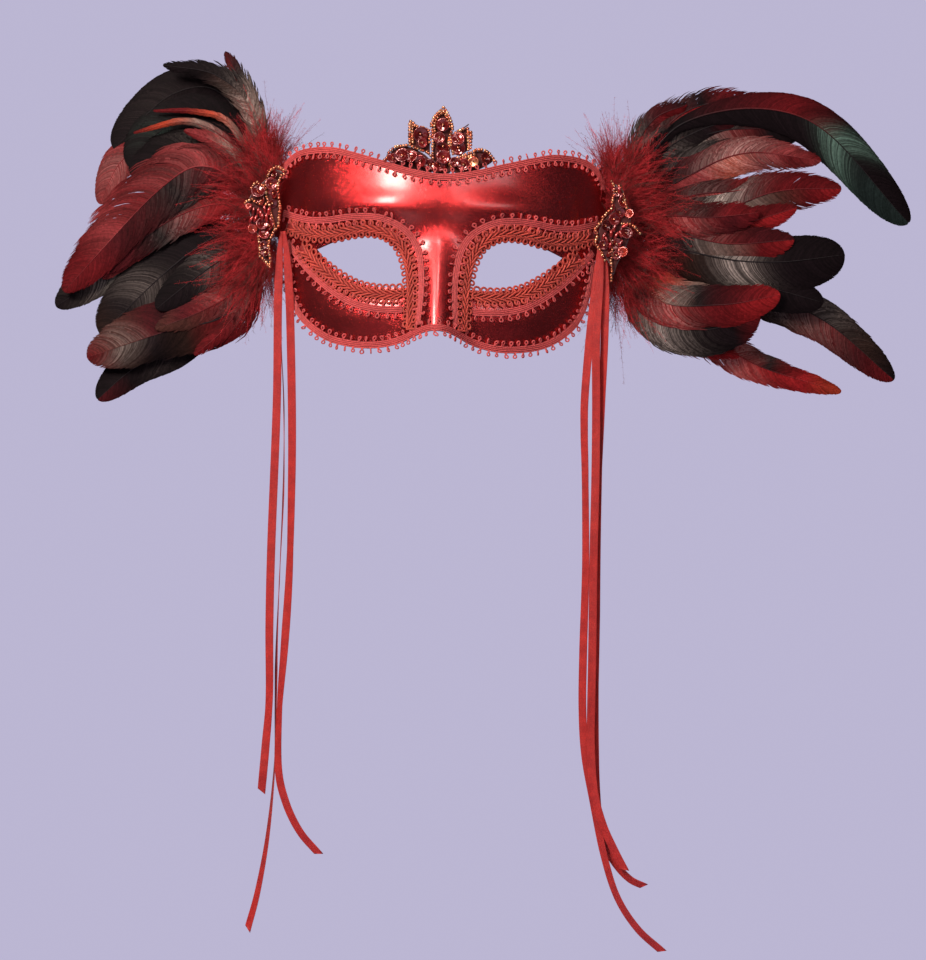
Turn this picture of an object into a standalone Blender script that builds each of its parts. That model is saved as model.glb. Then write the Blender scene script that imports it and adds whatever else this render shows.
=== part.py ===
"""Half-face masquerade mask with braid trim, beaded appliques, feather wings and ribbon ties.

Frame: X to the viewer's right, +Y towards the wearer, +Z up. The origin is on the bridge of the
wearer's nose. Sizes below are millimetres; MM turns them into metres.
"""
import math

import bmesh
import bpy
from mathutils import Matrix, Vector

MM = 0.001

# Face surface: a curved wrap with nose, eye sockets, brow ridge and cheeks.
WRAP_RADIUS = 125.0
WRAP_DEPTH = 145.0
NOSE_RISE = 16.0
NOSE_HALF_WIDTH = 11.0
BRIDGE_DIP = 2.5
SOCKET_DEPTH = 5.0
BROW_RISE = 2.5
CHEEK_RISE = 3.0
FOREHEAD_LEAN = 0.0022

SHELL_THICKNESS = 1.6
LINING_DEPTH = 2.0
LINING_THICKNESS = 0.6
BRAID_WIDTH = 3.8
BRAID_THICKNESS = 1.1
GIMP_WIDTH = 4.6
TRIM_GAP = 0.5
TRIM_SPACING = 4.6
OUTLINE_SPACING = 4.5
SHEET_HALF_WIDTH = 100.0
SHEET_HALF_HEIGHT = 58.0
EDGE_CROWDING = 0.45
CUTTER_FRONT = -40.0
CUTTER_LENGTH = 130.0

# Right half of the shell's outline, from the middle of the top edge round to the nose tip.
HALF_OUTLINE = [
    (0, 40.6), (10, 41.6), (20, 43.6), (30, 46.6), (40, 49.4), (50, 52.2), (60, 54.6), (70, 54.8),
    (79, 53.4), (87, 48.5), (93, 42), (96.5, 31), (96.5, 19), (93, 9), (86.5, 3), (84.6, -9),
    (82.4, -21), (79.4, -31), (74.5, -39), (66.6, -45.8), (57.2, -50.6), (47, -53), (36.8, -53.6),
    (27, -52.6), (18, -50.1), (10, -46.4), (5, -44.4), (0, -43.9)]
EYE_UPPER = [(67, -0.6), (56, 3.9), (45.6, 6.1), (35.5, 6.5), (27.6, 3.5), (22.2, -1.6), (19.1, -7.6),
             (17.8, -15), (17.3, -20.9)]
EYE_LOWER = [(17.3, -20.9), (26.2, -21.1), (36, -20.3), (44.7, -18.1), (53.5, -13.6), (60, -8.5),
             (67, -0.6)]

# Trim centre lines on the right half, seen from the front.
TOP_BRAID = [(0, 39.4), (10, 40.4), (20, 42.4), (30, 45.3), (39, 47.8), (49.5, 50.8), (60, 53.3),
             (70, 53.4), (78.7, 51.8), (84.4, 47.6), (87.4, 42.6), (88, 38.6)]
BOTTOM_BRAID = [(0, -42.7), (5, -43.2), (10.5, -45.2), (18.4, -48.9), (27, -51.4), (36.8, -52.5),
                (46.7, -51.8), (57, -49.5), (66, -44.7), (73.6, -38), (78.2, -30.4), (81.2, -20.6),
                (83.2, -9), (84, -2.4)]
BROW_BRAID = [(86, 19.4), (79, 17), (71, 15.2), (61, 15.2), (50.8, 16.7), (39.9, 17.3), (31, 16.2),
              (22.2, 12.4), (15.7, 7), (11.2, -1), (9.2, -11), (8.6, -21.5), (9, -32), (9.8, -41.3)]
CHEEK_BRAID = [(83.4, 3.4), (79.6, -1.6), (73, -9.8), (65, -17.5), (55.5, -24.8), (45.4, -30.2),
               (34.2, -32.8), (24.5, -33.2), (18.6, -33)]
UPPER_GIMP = [(84.4, 12.6), (78.6, 9.8), (69.3, 7.3), (58.2, 7.2), (47.8, 9.4), (38.6, 10.3),
              (29.4, 8.6), (21.4, 2.6), (17, -7.2), (15.2, -18), (14.6, -30), (14.6, -43)]
LOWER_GIMP = [(18.8, -24.8), (28.1, -25.3), (37.3, -24.6), (46.7, -22.2), (56.2, -16.9), (66, -9.2),
              (72.5, -3.2), (76.4, 0.6)]
PATCH = [(84.5, 9), (84.5, 38)]
PATCH_WIDTH = 16.0
PATCH_HEIGHTS = (-4.7, -3.6)

# Crown applique on the middle of the forehead: silhouette, seen from the front.
CROWN_OUTLINE = [(-11, 35), (-11, 42.6), (-27.5, 47.6), (-30.5, 51), (-26.5, 55.6), (-19, 55.6),
                 (-20.5, 61.5), (-16, 63.4), (-9.5, 65.4), (-6, 70.5), (-0.6, 77.5), (5, 71),
                 (8.6, 65.6), (14.8, 63.4), (19.2, 60.4), (17.4, 55.6), (24.5, 55.4), (29, 51.5),
                 (27, 47.6), (11, 42.6), (11, 35)]
CROWN_EDGE = [(-28.2, 50.3), (-24.5, 54), (-17.6, 54.6), (-17.4, 60.4), (-12.4, 62.4), (-7.4, 65),
              (-4.6, 69.6), (-0.7, 74.4), (3.4, 70), (6.4, 65), (11.2, 62.4), (15.8, 60), (15.8, 54.6),
              (22.6, 53.6), (26.6, 50.5)]
CROWN_FRONT = 6.4
CROWN_THICKNESS = 1.0
CROWN_STONES = [(-0.6, 67.4, 2.7), (-1.9, 60.2, 2.9), (-11.8, 57.6, 2.6), (9.4, 58.2, 2.8),
                (-19.8, 50.6, 2.8), (17.6, 50, 2.7)]
BEAD_RADIUS = 0.9
CROWN_BEAD_GAP = 0.35
STONE_GAP = 0.3
STONE_HEIGHT = 2.4
DOME_SIDES = 12

# Temple appliques: widths are taken across the centre line.
TEMPLE_FRONT = 28.2
LEFT_TEMPLE = [(-92.5, 44), (-96.5, 33), (-98, 18), (-97.5, 4), (-93.4, -11)]
RIGHT_TEMPLE = [(96.5, 42), (100, 31), (101, 17), (98, 4), (94.5, -11)]
TEMPLE_EDGE_OFFSET = 8.4
TEMPLE_GAP = 0.9
SEQUIN_HEIGHT = 1.4
LEFT_SEQUINS = [(-98.6, 27.5, 3.4), (-98.8, 7.8, 3.0)]
RIGHT_SEQUINS = [(101.6, 25.5, 3.2), (100.9, 8.6, 2.7)]
PAD_LINE = [(95, 12), (98, 25), (96, 40)]
PAD_DEPTH = 35.6

# Marabou: soft strips behind the appliques, above and below the temples.
MARABOU_LINE = [(88, 86), (97, 62), (105, 40), (105.5, 12), (101, -18), (99, -55)]
MARABOU_DEPTH = 43.6

# Feathers: front to back, each with its centre line and its widest width.
FEATHER_DEPTH = 47.0
FEATHER_SPACING = 1.7
FEATHER_BEND = 0.0011
WING_ROOT = 97.0
LEFT_FEATHERS = [
    ("big_red", [(-98.8, 22), (-129, 41), (-166, 27), (-210, -32)], 24),
    ("red_lobe", [(-98.8, 26), (-137, 52), (-166, 49), (-189, 25)], 18),
    ("dark_hackle", [(-98.8, 36), (-109, 76), (-128, 95), (-154, 96)], 9),
    ("bottom_brown", [(-98.8, 12), (-112, -36), (-155, -54), (-192, -66)], 22),
    ("middle_black", [(-98.8, 16), (-120, 6), (-146, -10), (-178, -32)], 26),
    ("green_tip", [(-98.8, 20), (-141, 9), (-176, -13), (-210, -38)], 22),
    ("brown_hackle", [(-98.8, 38), (-106, 76), (-113, 93), (-122, 104)], 9),
    ("bottom_black", [(-98.8, 10), (-124, -44), (-163, -67), (-187, -88)], 20),
    ("second_black", [(-98.8, 32), (-121, 66), (-144, 68), (-169, 42)], 20),
    ("top_black", [(-98.8, 34), (-116, 78), (-150, 87), (-181, 54)], 24)]
RIGHT_FEATHERS = [
    ("red_tipped", [(98.8, 14), (128, -22), (163, -26), (188, -17)], 20),
    ("taupe", [(98.8, 12), (118, -26), (146, -39), (171, -26)], 22),
    ("olive_black", [(98.8, 18), (151, -1), (189, 0), (223, 7)], 26),
    ("red_streak", [(98.8, 22), (143, 33), (177, 42), (221, 43)], 18),
    ("red_pink", [(98.8, 24), (138, 48), (172, 60), (209, 57)], 14),
    ("big_green", [(98.8, 30), (142, 80), (204, 84), (259, 27)], 26),
    ("black_green", [(98.8, 28), (137, 58), (171, 73), (202, 66)], 24),
    ("serrated", [(98.8, 32), (122, 63), (144, 80), (176, 90)], 16),
    ("long_brown", [(98.8, 16), (158, -9), (208, -23), (254, -61)], 20),
    ("red_pointed", [(98.8, 10), (136, -32), (172, -54), (226, -69)], 18)]

# Ribbon ties: x, y and z of the middle of each ribbon, from the stitching down to the cut end.
RIBBON_WIDTH = 4.5
RIBBON_THICKNESS = 0.5
RIBBONS = {
    "left_outer_ribbon": (0, [
        (-87, 31.2, 9), (-87.6, 31.2, -4), (-87.6, 31.2, -32), (-86.4, 31.5, -85),
        (-86.7, 32, -163), (-86.2, 32, -207), (-84.9, 32, -246), (-86, 32, -273),
        (-87.4, 32, -298)]),
    "left_middle_ribbon": (90, [
        (-86.4, 35.2, 7), (-86.8, 35.3, -14), (-85.4, 35.6, -50), (-82.7, 36, -86), (-81.3, 36, -130),
        (-81.7, 36, -174), (-82, 36, -218), (-81.4, 36, -251), (-80.9, 36, -284), (-83.3, 36, -322),
        (-87.7, 36, -353), (-92.5, 36, -374)]),
    "left_inner_ribbon": (0, [
        (-85.6, 29.4, 9), (-83.2, 29.2, -8), (-80.6, 29.0, -38), (-77.6, 30.4, -96),
        (-76.5, 31, -140), (-76.3, 31, -179), (-77.5, 31, -218), (-79, 31, -251),
        (-78.6, 31, -284), (-74, 31, -303), (-65.7, 31, -319), (-54.8, 31, -331)]),
    "right_inner_ribbon": (0, [
        (87.4, 31.2, 8), (86, 31.2, -14), (83.8, 31.4, -41), (82.1, 32, -75), (82.5, 32.5, -96),
        (83.8, 33, -119), (85.8, 33, -168), (86.1, 33, -215), (86.8, 33, -247), (89.1, 33, -272),
        (94.4, 33, -297), (101.2, 33, -326), (109.3, 33, -349), (121, 33, -366), (135, 33, -378)]),
    "right_middle_ribbon": (0, [
        (88.6, 30.2, 8), (87.8, 30.2, -18), (87.2, 30.4, -46), (88.6, 31, -85), (89.5, 31, -124),
        (89.9, 31, -163), (91, 31, -215), (91.5, 31, -247), (92, 31, -267), (94.5, 31, -291),
        (99.8, 31, -309), (106.6, 31, -323), (112.8, 31, -334)]),
    "right_outer_ribbon": (0, [
        (90, 32.2, 7), (91.4, 32.4, -20), (91.8, 33, -46), (91.8, 35, -80), (91.8, 36, -124),
        (92.1, 36, -163), (93.2, 36, -215), (93.9, 36, -245), (94.6, 36, -266), (95.8, 36, -288),
        (98, 36, -307), (102.5, 36, -322), (108.6, 36, -332), (116.2, 36, -339.5),
        (124, 36, -343)])}


def smoothstep(value):
    value = min(max(value, 0.0), 1.0)
    return value * value * (3.0 - 2.0 * value)


def bump(x, z, centre_x, centre_z, spread_x, spread_z):
    return math.exp(-((x - centre_x) / spread_x) ** 2 - ((z - centre_z) / spread_z) ** 2)


def face_depth(x, z):
    """Depth of the mask's front surface at x, z."""
    side = abs(x)
    wrap = WRAP_DEPTH * (1.0 - math.sqrt(1.0 - (min(side, 110.0) / WRAP_RADIUS) ** 2))
    lower = smoothstep((22.0 - z) / 66.0)
    nose = NOSE_RISE * lower * math.exp(-(x / (NOSE_HALF_WIDTH + 2.0 * lower)) ** 2)
    bridge = BRIDGE_DIP * bump(side, z, 0.0, 8.0, 14.0, 13.0)
    socket = SOCKET_DEPTH * bump(side, z, 38.0, -6.0, 22.0, 14.0)
    brow = BROW_RISE * bump(side, z, 35.0, 24.0, 25.0, 8.0)
    cheek = CHEEK_RISE * bump(side, z, 40.0, -40.0, 25.0, 12.0)
    lean = FOREHEAD_LEAN * max(0.0, z - 10.0) ** 2
    return wrap - nose + bridge + socket - brow - cheek + lean


def face_normal(x, z):
    """Unit normal of the front surface, pointing away from the wearer."""
    step = 0.05
    slope_x = (face_depth(x + step, z) - face_depth(x - step, z)) / (2 * step)
    slope_z = (face_depth(x, z + step) - face_depth(x, z - step)) / (2 * step)
    return Vector((slope_x, -1.0, slope_z)).normalized()


def on_face(x, z, height=0.0):
    """Point at a height above the front surface; a negative height is inside the shell."""
    return Vector((x, face_depth(x, z), z)) + face_normal(x, z) * height


def smooth_line(points, spacing):
    """Catmull-Rom line through the points, read at an even spacing."""
    points = [Vector(point) for point in points]
    ends = [2 * points[0] - points[1]] + points + [2 * points[-1] - points[-2]]
    fine = []
    for a, b, c, d in zip(ends, ends[1:], ends[2:], ends[3:]):
        for step in range(12):
            t = step / 12
            fine.append(0.5 * (2 * b + (c - a) * t + (2 * a - 5 * b + 4 * c - d) * t * t
                               + (3 * b - a - 3 * c + d) * t ** 3))
    fine.append(points[-1])
    lengths = [0.0]
    for a, b in zip(fine, fine[1:]):
        lengths.append(lengths[-1] + (b - a).length)
    count = max(2, round(lengths[-1] / spacing))
    line = []
    index = 0
    for number in range(count + 1):
        target = lengths[-1] * number / count
        while index < len(fine) - 2 and lengths[index + 1] < target:
            index += 1
        span = lengths[index + 1] - lengths[index]
        line.append(fine[index].lerp(fine[index + 1], (target - lengths[index]) / span))
    return line


def mirrored(points):
    """Whole line from its right half, whose first point is on the middle plane."""
    return [(-x, z) for x, z in reversed(points)] + list(points[1:])


def flipped(points):
    return [(-x, z) for x, z in points]


def directions(line):
    """Unit tangent at each point of a line."""
    last = len(line) - 1
    return [(line[min(i + 1, last)] - line[max(i - 1, 0)]).normalized() for i in range(last + 1)]


def make_material(name, colour, roughness, metallic=0.0):
    material = bpy.data.materials.new(name)
    material.use_nodes = True
    shader = material.node_tree.nodes["Principled BSDF"]
    shader.inputs["Base Color"].default_value = (*colour, 1.0)
    shader.inputs["Roughness"].default_value = roughness
    shader.inputs["Metallic"].default_value = metallic
    return material


def add_object(name, mesh, material, collection):
    part = bpy.data.objects.new(name, mesh)
    mesh.materials.append(material)
    mesh.shade_smooth()
    mesh.set_sharp_from_angle(angle=math.radians(35))
    collection.objects.link(part)
    return part


def loft(name, rings, material, collection):
    """One closed body through rings that have the same number of points, in millimetres."""
    mesh = bpy.data.meshes.new(name)
    form = bmesh.new()
    loops = [[form.verts.new(point * MM) for point in ring] for ring in rings]
    for near, far in zip(loops, loops[1:]):
        for i in range(len(near)):
            j = (i + 1) % len(near)
            form.faces.new((near[i], near[j], far[j], far[i]))
    form.faces.new(loops[0])
    form.faces.new(loops[-1])
    bmesh.ops.recalc_face_normals(form, faces=form.faces)
    form.to_mesh(mesh)
    form.free()
    return add_object(name, mesh, material, collection)


def surface_strip(name, line, width, low, high, material, collection, spacing=TRIM_SPACING):
    """Flat strip that follows a line on the face, between two heights above it."""
    line = smooth_line([(x, 0, z) for x, z in line], spacing)
    rings = []
    for point, tangent in zip(line, directions(line)):
        centre = on_face(point.x, point.z)
        normal = face_normal(point.x, point.z)
        ahead = on_face(point.x + tangent.x * 0.5, point.z + tangent.z * 0.5)
        side = normal.cross(ahead - centre).normalized() * (width / 2)
        rings.append([centre + side + normal * low, centre + side + normal * high,
                      centre - side + normal * high, centre - side + normal * low])
    return loft(name, rings, material, collection)


def blade(name, line, half_width, half_thickness, depth, material, collection, spacing=7.0):
    """Thin leaf whose width and thickness are functions of the fraction along its line."""
    line = smooth_line([(x, 0, z) for x, z in line], spacing)
    rings = []
    for i, (point, tangent) in enumerate(zip(line, directions(line))):
        t = i / (len(line) - 1)
        centre = Vector((point.x, depth(point.x), point.z))
        side = Vector((-tangent.z, 0, tangent.x)) * half_width(t)
        front = Vector((0, half_thickness(t), 0))
        left, right = centre + side, centre - side
        left.y = depth(left.x)
        right.y = depth(right.x)
        rings.append([left, centre - front, right, centre + front])
    return loft(name, rings, material, collection)


def ribbon(name, points, turn, material, collection):
    """Flat ribbon along a hanging line; a turn of 90 shows its edge to the front."""
    line = smooth_line(points, 11.0)
    angle = math.radians(turn)
    rings = []
    for point, tangent in zip(line, directions(line)):
        across = Vector((0, -1, 0)).cross(tangent).normalized()
        side = Matrix.Rotation(angle, 3, tangent) @ across
        normal = tangent.cross(side).normalized() * (RIBBON_THICKNESS / 2)
        side = side * (RIBBON_WIDTH / 2)
        rings.append([point + side + normal, point + side - normal,
                      point - side - normal, point - side + normal])
    return loft(name, rings, material, collection)


def extruded_outline(name, points, front, thickness, material, collection):
    """Solid with a flat outline that faces the front, from a filled 2D curve."""
    curve = bpy.data.curves.new(name, "CURVE")
    curve.dimensions = "2D"
    curve.fill_mode = "BOTH"
    curve.extrude = thickness / 2 * MM
    spline = curve.splines.new("POLY")
    spline.points.add(len(points) - 1)
    for target, (x, z) in zip(spline.points, points):
        target.co = (x * MM, z * MM, 0, 1)
    spline.use_cyclic_u = True
    flat = bpy.data.objects.new(name + "_curve", curve)
    collection.objects.link(flat)
    bpy.context.view_layer.update()
    mesh = bpy.data.meshes.new_from_object(flat.evaluated_get(bpy.context.evaluated_depsgraph_get()))
    bpy.data.objects.remove(flat)
    form = bmesh.new()
    form.from_mesh(mesh)
    bmesh.ops.remove_doubles(form, verts=form.verts, dist=1e-6)
    form.transform(Matrix.Translation((0, (front + thickness / 2) * MM, 0))
                   @ Matrix.Rotation(math.radians(90), 4, "X"))
    bmesh.ops.recalc_face_normals(form, faces=form.faces)
    form.to_mesh(mesh)
    form.free()
    mesh.name = name
    return add_object(name, mesh, material, collection)


def eye_outline(side):
    """Almond opening with two corners; the lower lid starts where the upper one ends."""
    lids = []
    for lid in (EYE_UPPER, EYE_LOWER):
        line = smooth_line([(x, 0, z) for x, z in lid], OUTLINE_SPACING)
        lids += [(side * point.x, point.z) for point in line[:-1]]
    return lids


def face_slab(name, depth, thickness, columns, rows, cutters, material, collection):
    """Curved sheet behind the front surface, cut to the outline and the eye openings."""
    mesh = bpy.data.meshes.new(name)
    form = bmesh.new()
    bmesh.ops.create_grid(form, x_segments=columns, y_segments=rows, size=1.0)
    for vert in form.verts:
        x = SHEET_HALF_WIDTH * ((1.0 - EDGE_CROWDING) * vert.co.x + EDGE_CROWDING * vert.co.x ** 3)
        z = SHEET_HALF_HEIGHT * vert.co.y
        vert.co = on_face(x, z, -depth) * MM
    form.to_mesh(mesh)
    form.free()
    sheet = add_object(name, mesh, material, collection)
    solid = sheet.modifiers.new("thickness", "SOLIDIFY")
    solid.thickness = thickness * MM
    solid.offset = -1.0
    for cutter, operation in cutters:
        cut = sheet.modifiers.new(cutter.name, "BOOLEAN")
        cut.object = cutter
        cut.operation = operation
        cut.solver = "EXACT"
    return sheet


def make_cutters(collection):
    clear = make_material("cutter", (0.5, 0.5, 0.5), 1.0)
    outlines = [("outline_cutter", closed_outline(), "INTERSECT"),
                ("left_eye_cutter", eye_outline(-1), "DIFFERENCE"),
                ("right_eye_cutter", eye_outline(1), "DIFFERENCE")]
    cutters = [(extruded_outline(name, points, CUTTER_FRONT, CUTTER_LENGTH, clear, collection), operation)
               for name, points, operation in outlines]
    for cutter, _ in cutters:
        cutter.hide_render = True
        cutter.display_type = "WIRE"
    return cutters


def closed_outline():
    """Shell outline: its smoothed right half and the mirrored left half."""
    half = smooth_line([(x, 0, z) for x, z in HALF_OUTLINE], OUTLINE_SPACING)
    right = [(point.x, point.z) for point in half]
    right[0] = (0.0, right[0][1])
    right[-1] = (0.0, right[-1][1])
    return right + [(-x, z) for x, z in reversed(right[1:-1])]


def dome(name, x, z, radius, back, height, material, collection):
    """Cut stone or sequin: a low domed disc that faces the front."""
    profile = [(1.0, 0.0), (1.0, 0.35), (0.72, 0.85)]
    turns = [math.tau * k / DOME_SIDES for k in range(DOME_SIDES)]
    rings = []
    for share, rise in profile:
        rings.append([Vector((x + radius * share * math.cos(turn), back - height * rise,
                              z + radius * share * math.sin(turn))) for turn in turns])
    return loft(name, rings, material, collection)


def bead_edge(name, points, material, collection):
    """String of seed beads as a round cord."""
    curve = bpy.data.curves.new(name, "CURVE")
    curve.dimensions = "3D"
    curve.bevel_depth = BEAD_RADIUS * MM
    curve.bevel_resolution = 1
    curve.use_fill_caps = True
    line = smooth_line(points, 4.0)
    spline = curve.splines.new("POLY")
    spline.points.add(len(line) - 1)
    for target, point in zip(spline.points, line):
        target.co = (*(point * MM), 1)
    curve.materials.append(material)
    string = bpy.data.objects.new(name, curve)
    collection.objects.link(string)
    return string


def leaf_width(widest):
    """Feather vane: a bare quill that opens into a vane with a rounded tip."""
    def width(t):
        quill = 0.4
        vane = smoothstep((t - 0.12) / 0.33) * math.sqrt(max(0.0, 1.0 - max(0.0, (t - 0.62) / 0.4) ** 2))
        return quill + (widest / 2 - quill) * vane
    return width


def feather_sheet(layer):
    """Depth of a feather layer: the whole wing bends back with distance from its root."""
    def depth(x):
        beyond = max(0.0, abs(x) - WING_ROOT)
        return FEATHER_DEPTH + FEATHER_SPACING * layer + FEATHER_BEND * beyond ** 2
    return depth


def make_shell(parts, cutters, palette):
    face_slab("mask_shell", 0.0, SHELL_THICKNESS, 30, 14, cutters, palette["shell"], parts)
    face_slab("inner_lining", LINING_DEPTH, LINING_THICKNESS, 26, 12, cutters, palette["lining"], parts)


def make_trim(parts, palette):
    low = TRIM_GAP
    high = TRIM_GAP + BRAID_THICKNESS
    surface_strip("top_edge_braid", mirrored(TOP_BRAID), BRAID_WIDTH, low, high, palette["braid"], parts)
    surface_strip("bottom_edge_braid", mirrored(BOTTOM_BRAID), BRAID_WIDTH, low, high,
                  palette["braid"], parts, 3.0)
    for label, turn in (("left", flipped), ("right", list)):
        for name, line, width, kind in (("brow_braid", BROW_BRAID, BRAID_WIDTH, "braid"),
                                        ("cheek_braid", CHEEK_BRAID, BRAID_WIDTH, "braid"),
                                        ("upper_eye_gimp", UPPER_GIMP, GIMP_WIDTH, "gimp"),
                                        ("lower_eye_gimp", LOWER_GIMP, GIMP_WIDTH, "gimp")):
            surface_strip(label + "_" + name, turn(line), width, low, high, palette[kind], parts)
        surface_strip(label + "_inner_patch", turn(PATCH), PATCH_WIDTH, *PATCH_HEIGHTS, palette["lining"],
                      parts, 7.0)


def make_crown(parts, palette):
    extruded_outline("crown_backing", CROWN_OUTLINE, CROWN_FRONT, CROWN_THICKNESS, palette["felt"], parts)
    beads = [(x, CROWN_FRONT - CROWN_BEAD_GAP - BEAD_RADIUS, z) for x, z in CROWN_EDGE]
    bead_edge("crown_bead_edge", beads, palette["beads"], parts)
    for number, (x, z, radius) in enumerate(CROWN_STONES, 1):
        dome(f"crown_stone_{number}", x, z, radius, CROWN_FRONT - STONE_GAP, STONE_HEIGHT, palette["stones"],
             parts)


def make_temple(label, line, sequins, inward, parts, palette):
    def half_width(t):
        return 1.2 + 7.6 * math.sin(math.pi * min(1.0, 0.12 + 0.95 * t)) ** 0.8

    def flat(_):
        return TEMPLE_FRONT

    blade(label + "_temple_backing", line, half_width, lambda _: 0.5, flat, palette["felt"], parts, 6.0)
    edge = [(x + inward * TEMPLE_EDGE_OFFSET * (1.0 - 0.24 * i), TEMPLE_FRONT - TEMPLE_GAP - BEAD_RADIUS, z)
            for i, (x, z) in enumerate(line)]
    bead_edge(label + "_temple_bead_edge", edge, palette["beads"], parts)
    for number, (x, z, radius) in enumerate(sequins, 1):
        dome(f"{label}_temple_sequin_{number}", x, z, radius, TEMPLE_FRONT - TEMPLE_GAP, SEQUIN_HEIGHT,
             palette["stones"], parts)


def make_wing(label, turn, feathers, parts, palette):
    blade(label + "_feather_pad", turn(PAD_LINE), lambda t: 2.0 + 5.5 * math.sin(math.pi * t),
          lambda t: 1.5 + 3.2 * math.sin(math.pi * t), lambda _: PAD_DEPTH, palette["felt"], parts, 5.0)
    blade(label + "_marabou", turn(MARABOU_LINE),
          lambda t: 2.5 + 3.6 * math.sin(math.pi * t) + 4.5 * abs(math.sin(math.tau * t)),
          lambda t: 0.4 + 0.9 * math.sin(math.pi * t), lambda _: MARABOU_DEPTH, palette["marabou"], parts,
          9.0)
    for layer, (name, line, widest) in enumerate(feathers):
        blade(f"{label}_feather_{name}", line, leaf_width(widest), lambda t: 0.5 - 0.2 * t,
              feather_sheet(layer), palette["feather"], parts, 10.0)


def make_ribbons(parts, palette):
    for name, (turn, points) in RIBBONS.items():
        ribbon(name, points, turn, palette["ribbon"], parts)


def main():
    for leftover in list(bpy.data.objects):
        bpy.data.objects.remove(leftover)
    parts = bpy.data.collections.new("masquerade_mask")
    tools = bpy.data.collections.new("cutters")
    bpy.context.scene.collection.children.link(parts)
    bpy.context.scene.collection.children.link(tools)
    palette = {
        "shell": make_material("metallic_red_shell", (0.36, 0.012, 0.018), 0.28, 0.85),
        "lining": make_material("black_lining", (0.012, 0.011, 0.013), 0.9),
        "braid": make_material("coral_braid", (0.66, 0.11, 0.085), 0.7),
        "gimp": make_material("orange_gimp", (0.60, 0.055, 0.03), 0.65),
        "felt": make_material("dark_red_felt", (0.16, 0.012, 0.012), 0.9),
        "beads": make_material("copper_beads", (0.52, 0.13, 0.07), 0.3, 0.7),
        "stones": make_material("dark_red_stones", (0.19, 0.008, 0.008), 0.15, 0.3),
        "marabou": make_material("red_marabou", (0.42, 0.03, 0.04), 0.95),
        "feather": make_material("dark_feather", (0.05, 0.012, 0.012), 0.5),
        "ribbon": make_material("red_satin_ribbon", (0.55, 0.018, 0.022), 0.4)}
    cutters = make_cutters(tools)
    make_shell(parts, cutters, palette)
    make_trim(parts, palette)
    make_crown(parts, palette)
    make_temple("left", LEFT_TEMPLE, LEFT_SEQUINS, 1, parts, palette)
    make_temple("right", RIGHT_TEMPLE, RIGHT_SEQUINS, -1, parts, palette)
    make_wing("left", flipped, LEFT_FEATHERS, parts, palette)
    make_wing("right", list, RIGHT_FEATHERS, parts, palette)
    make_ribbons(parts, palette)


main()
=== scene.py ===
"""Looks of the masquerade mask: satin shell, braid and gimp, beaded appliques, feathers, down and ribbons.

Lengths are millimetres in the CAD's frame until a mesh is made; MM turns them into metres.
X is to the viewer's right, +Y towards the wearer, +Z up.
"""
import math
import bpy
import bmesh
import numpy as np
from mathutils import Matrix, Vector


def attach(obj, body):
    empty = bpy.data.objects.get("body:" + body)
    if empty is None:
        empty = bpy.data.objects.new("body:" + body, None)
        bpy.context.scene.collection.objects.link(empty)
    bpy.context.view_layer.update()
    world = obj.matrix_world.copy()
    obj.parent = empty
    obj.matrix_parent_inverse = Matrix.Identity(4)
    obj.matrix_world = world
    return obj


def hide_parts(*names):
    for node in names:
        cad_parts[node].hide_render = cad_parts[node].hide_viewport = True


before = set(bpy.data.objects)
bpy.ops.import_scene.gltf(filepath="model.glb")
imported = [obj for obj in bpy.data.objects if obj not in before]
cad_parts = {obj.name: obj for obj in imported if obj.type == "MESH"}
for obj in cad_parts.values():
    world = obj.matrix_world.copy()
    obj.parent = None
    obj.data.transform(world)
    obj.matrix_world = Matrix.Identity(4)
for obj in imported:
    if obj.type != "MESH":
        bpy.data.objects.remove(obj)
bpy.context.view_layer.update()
MM = 0.001
MASK = "mask"
SIDES = (("left", -1), ("right", 1))

# The camera looks along +Y at a point below the mask, and is rolled a little.
CAMERA_AIM = (17.0, 0.0, -123.7)
CAMERA_DISTANCE = 2200.0
CAMERA_LENS = 152.8
CAMERA_SENSOR = 36.0
CAMERA_ROLL = math.radians(2.0)
FLOOR_HEIGHT = -520.0
FLOOR_RADIUS = 0.85

# Face surface, within 2 mm of the CAD's.
WRAP_RADIUS = 125.0
WRAP_DEPTH = 145.0
WRAP_REACH = 110.0
NOSE_RISE = 16.0
NOSE_HALF_WIDTH = 11.0
NOSE_TOP = 14.0
NOSE_LENGTH = 58.0
NOSE_SOFT_START = 0.05
NOSE_FLARE = 0.03
FOREHEAD_LEAN = 0.0022
FOREHEAD_START = 10.0
# Hollows and rises on both sides: height, centre x and z, spread in x and z.
BRIDGE_DIP = (2.5, 0.0, 8.0, 14.0, 13.0)
SOCKET_DIP = (5.0, 38.0, -6.0, 22.0, 14.0)
BROW_RISE = (2.5, 35.0, 24.0, 25.0, 8.0)
CHEEK_RISE = (3.0, 40.0, -35.0, 25.0, 12.0)

SHEET_HALF_WIDTH = 100.0
SHEET_HALF_HEIGHT = 58.0
CUTTER_FRONT = -40.0
CUTTER_LENGTH = 130.0
SHELL_THICKNESS = 1.6
LINING_DEPTH = 2.0
LINING_THICKNESS = 0.6
PATCH_X = (77.0, 92.0)
PATCH_Z = (8.5, 38.5)
PATCH_FRONT = -3.0
PATCH_BACK = -4.4

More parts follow.
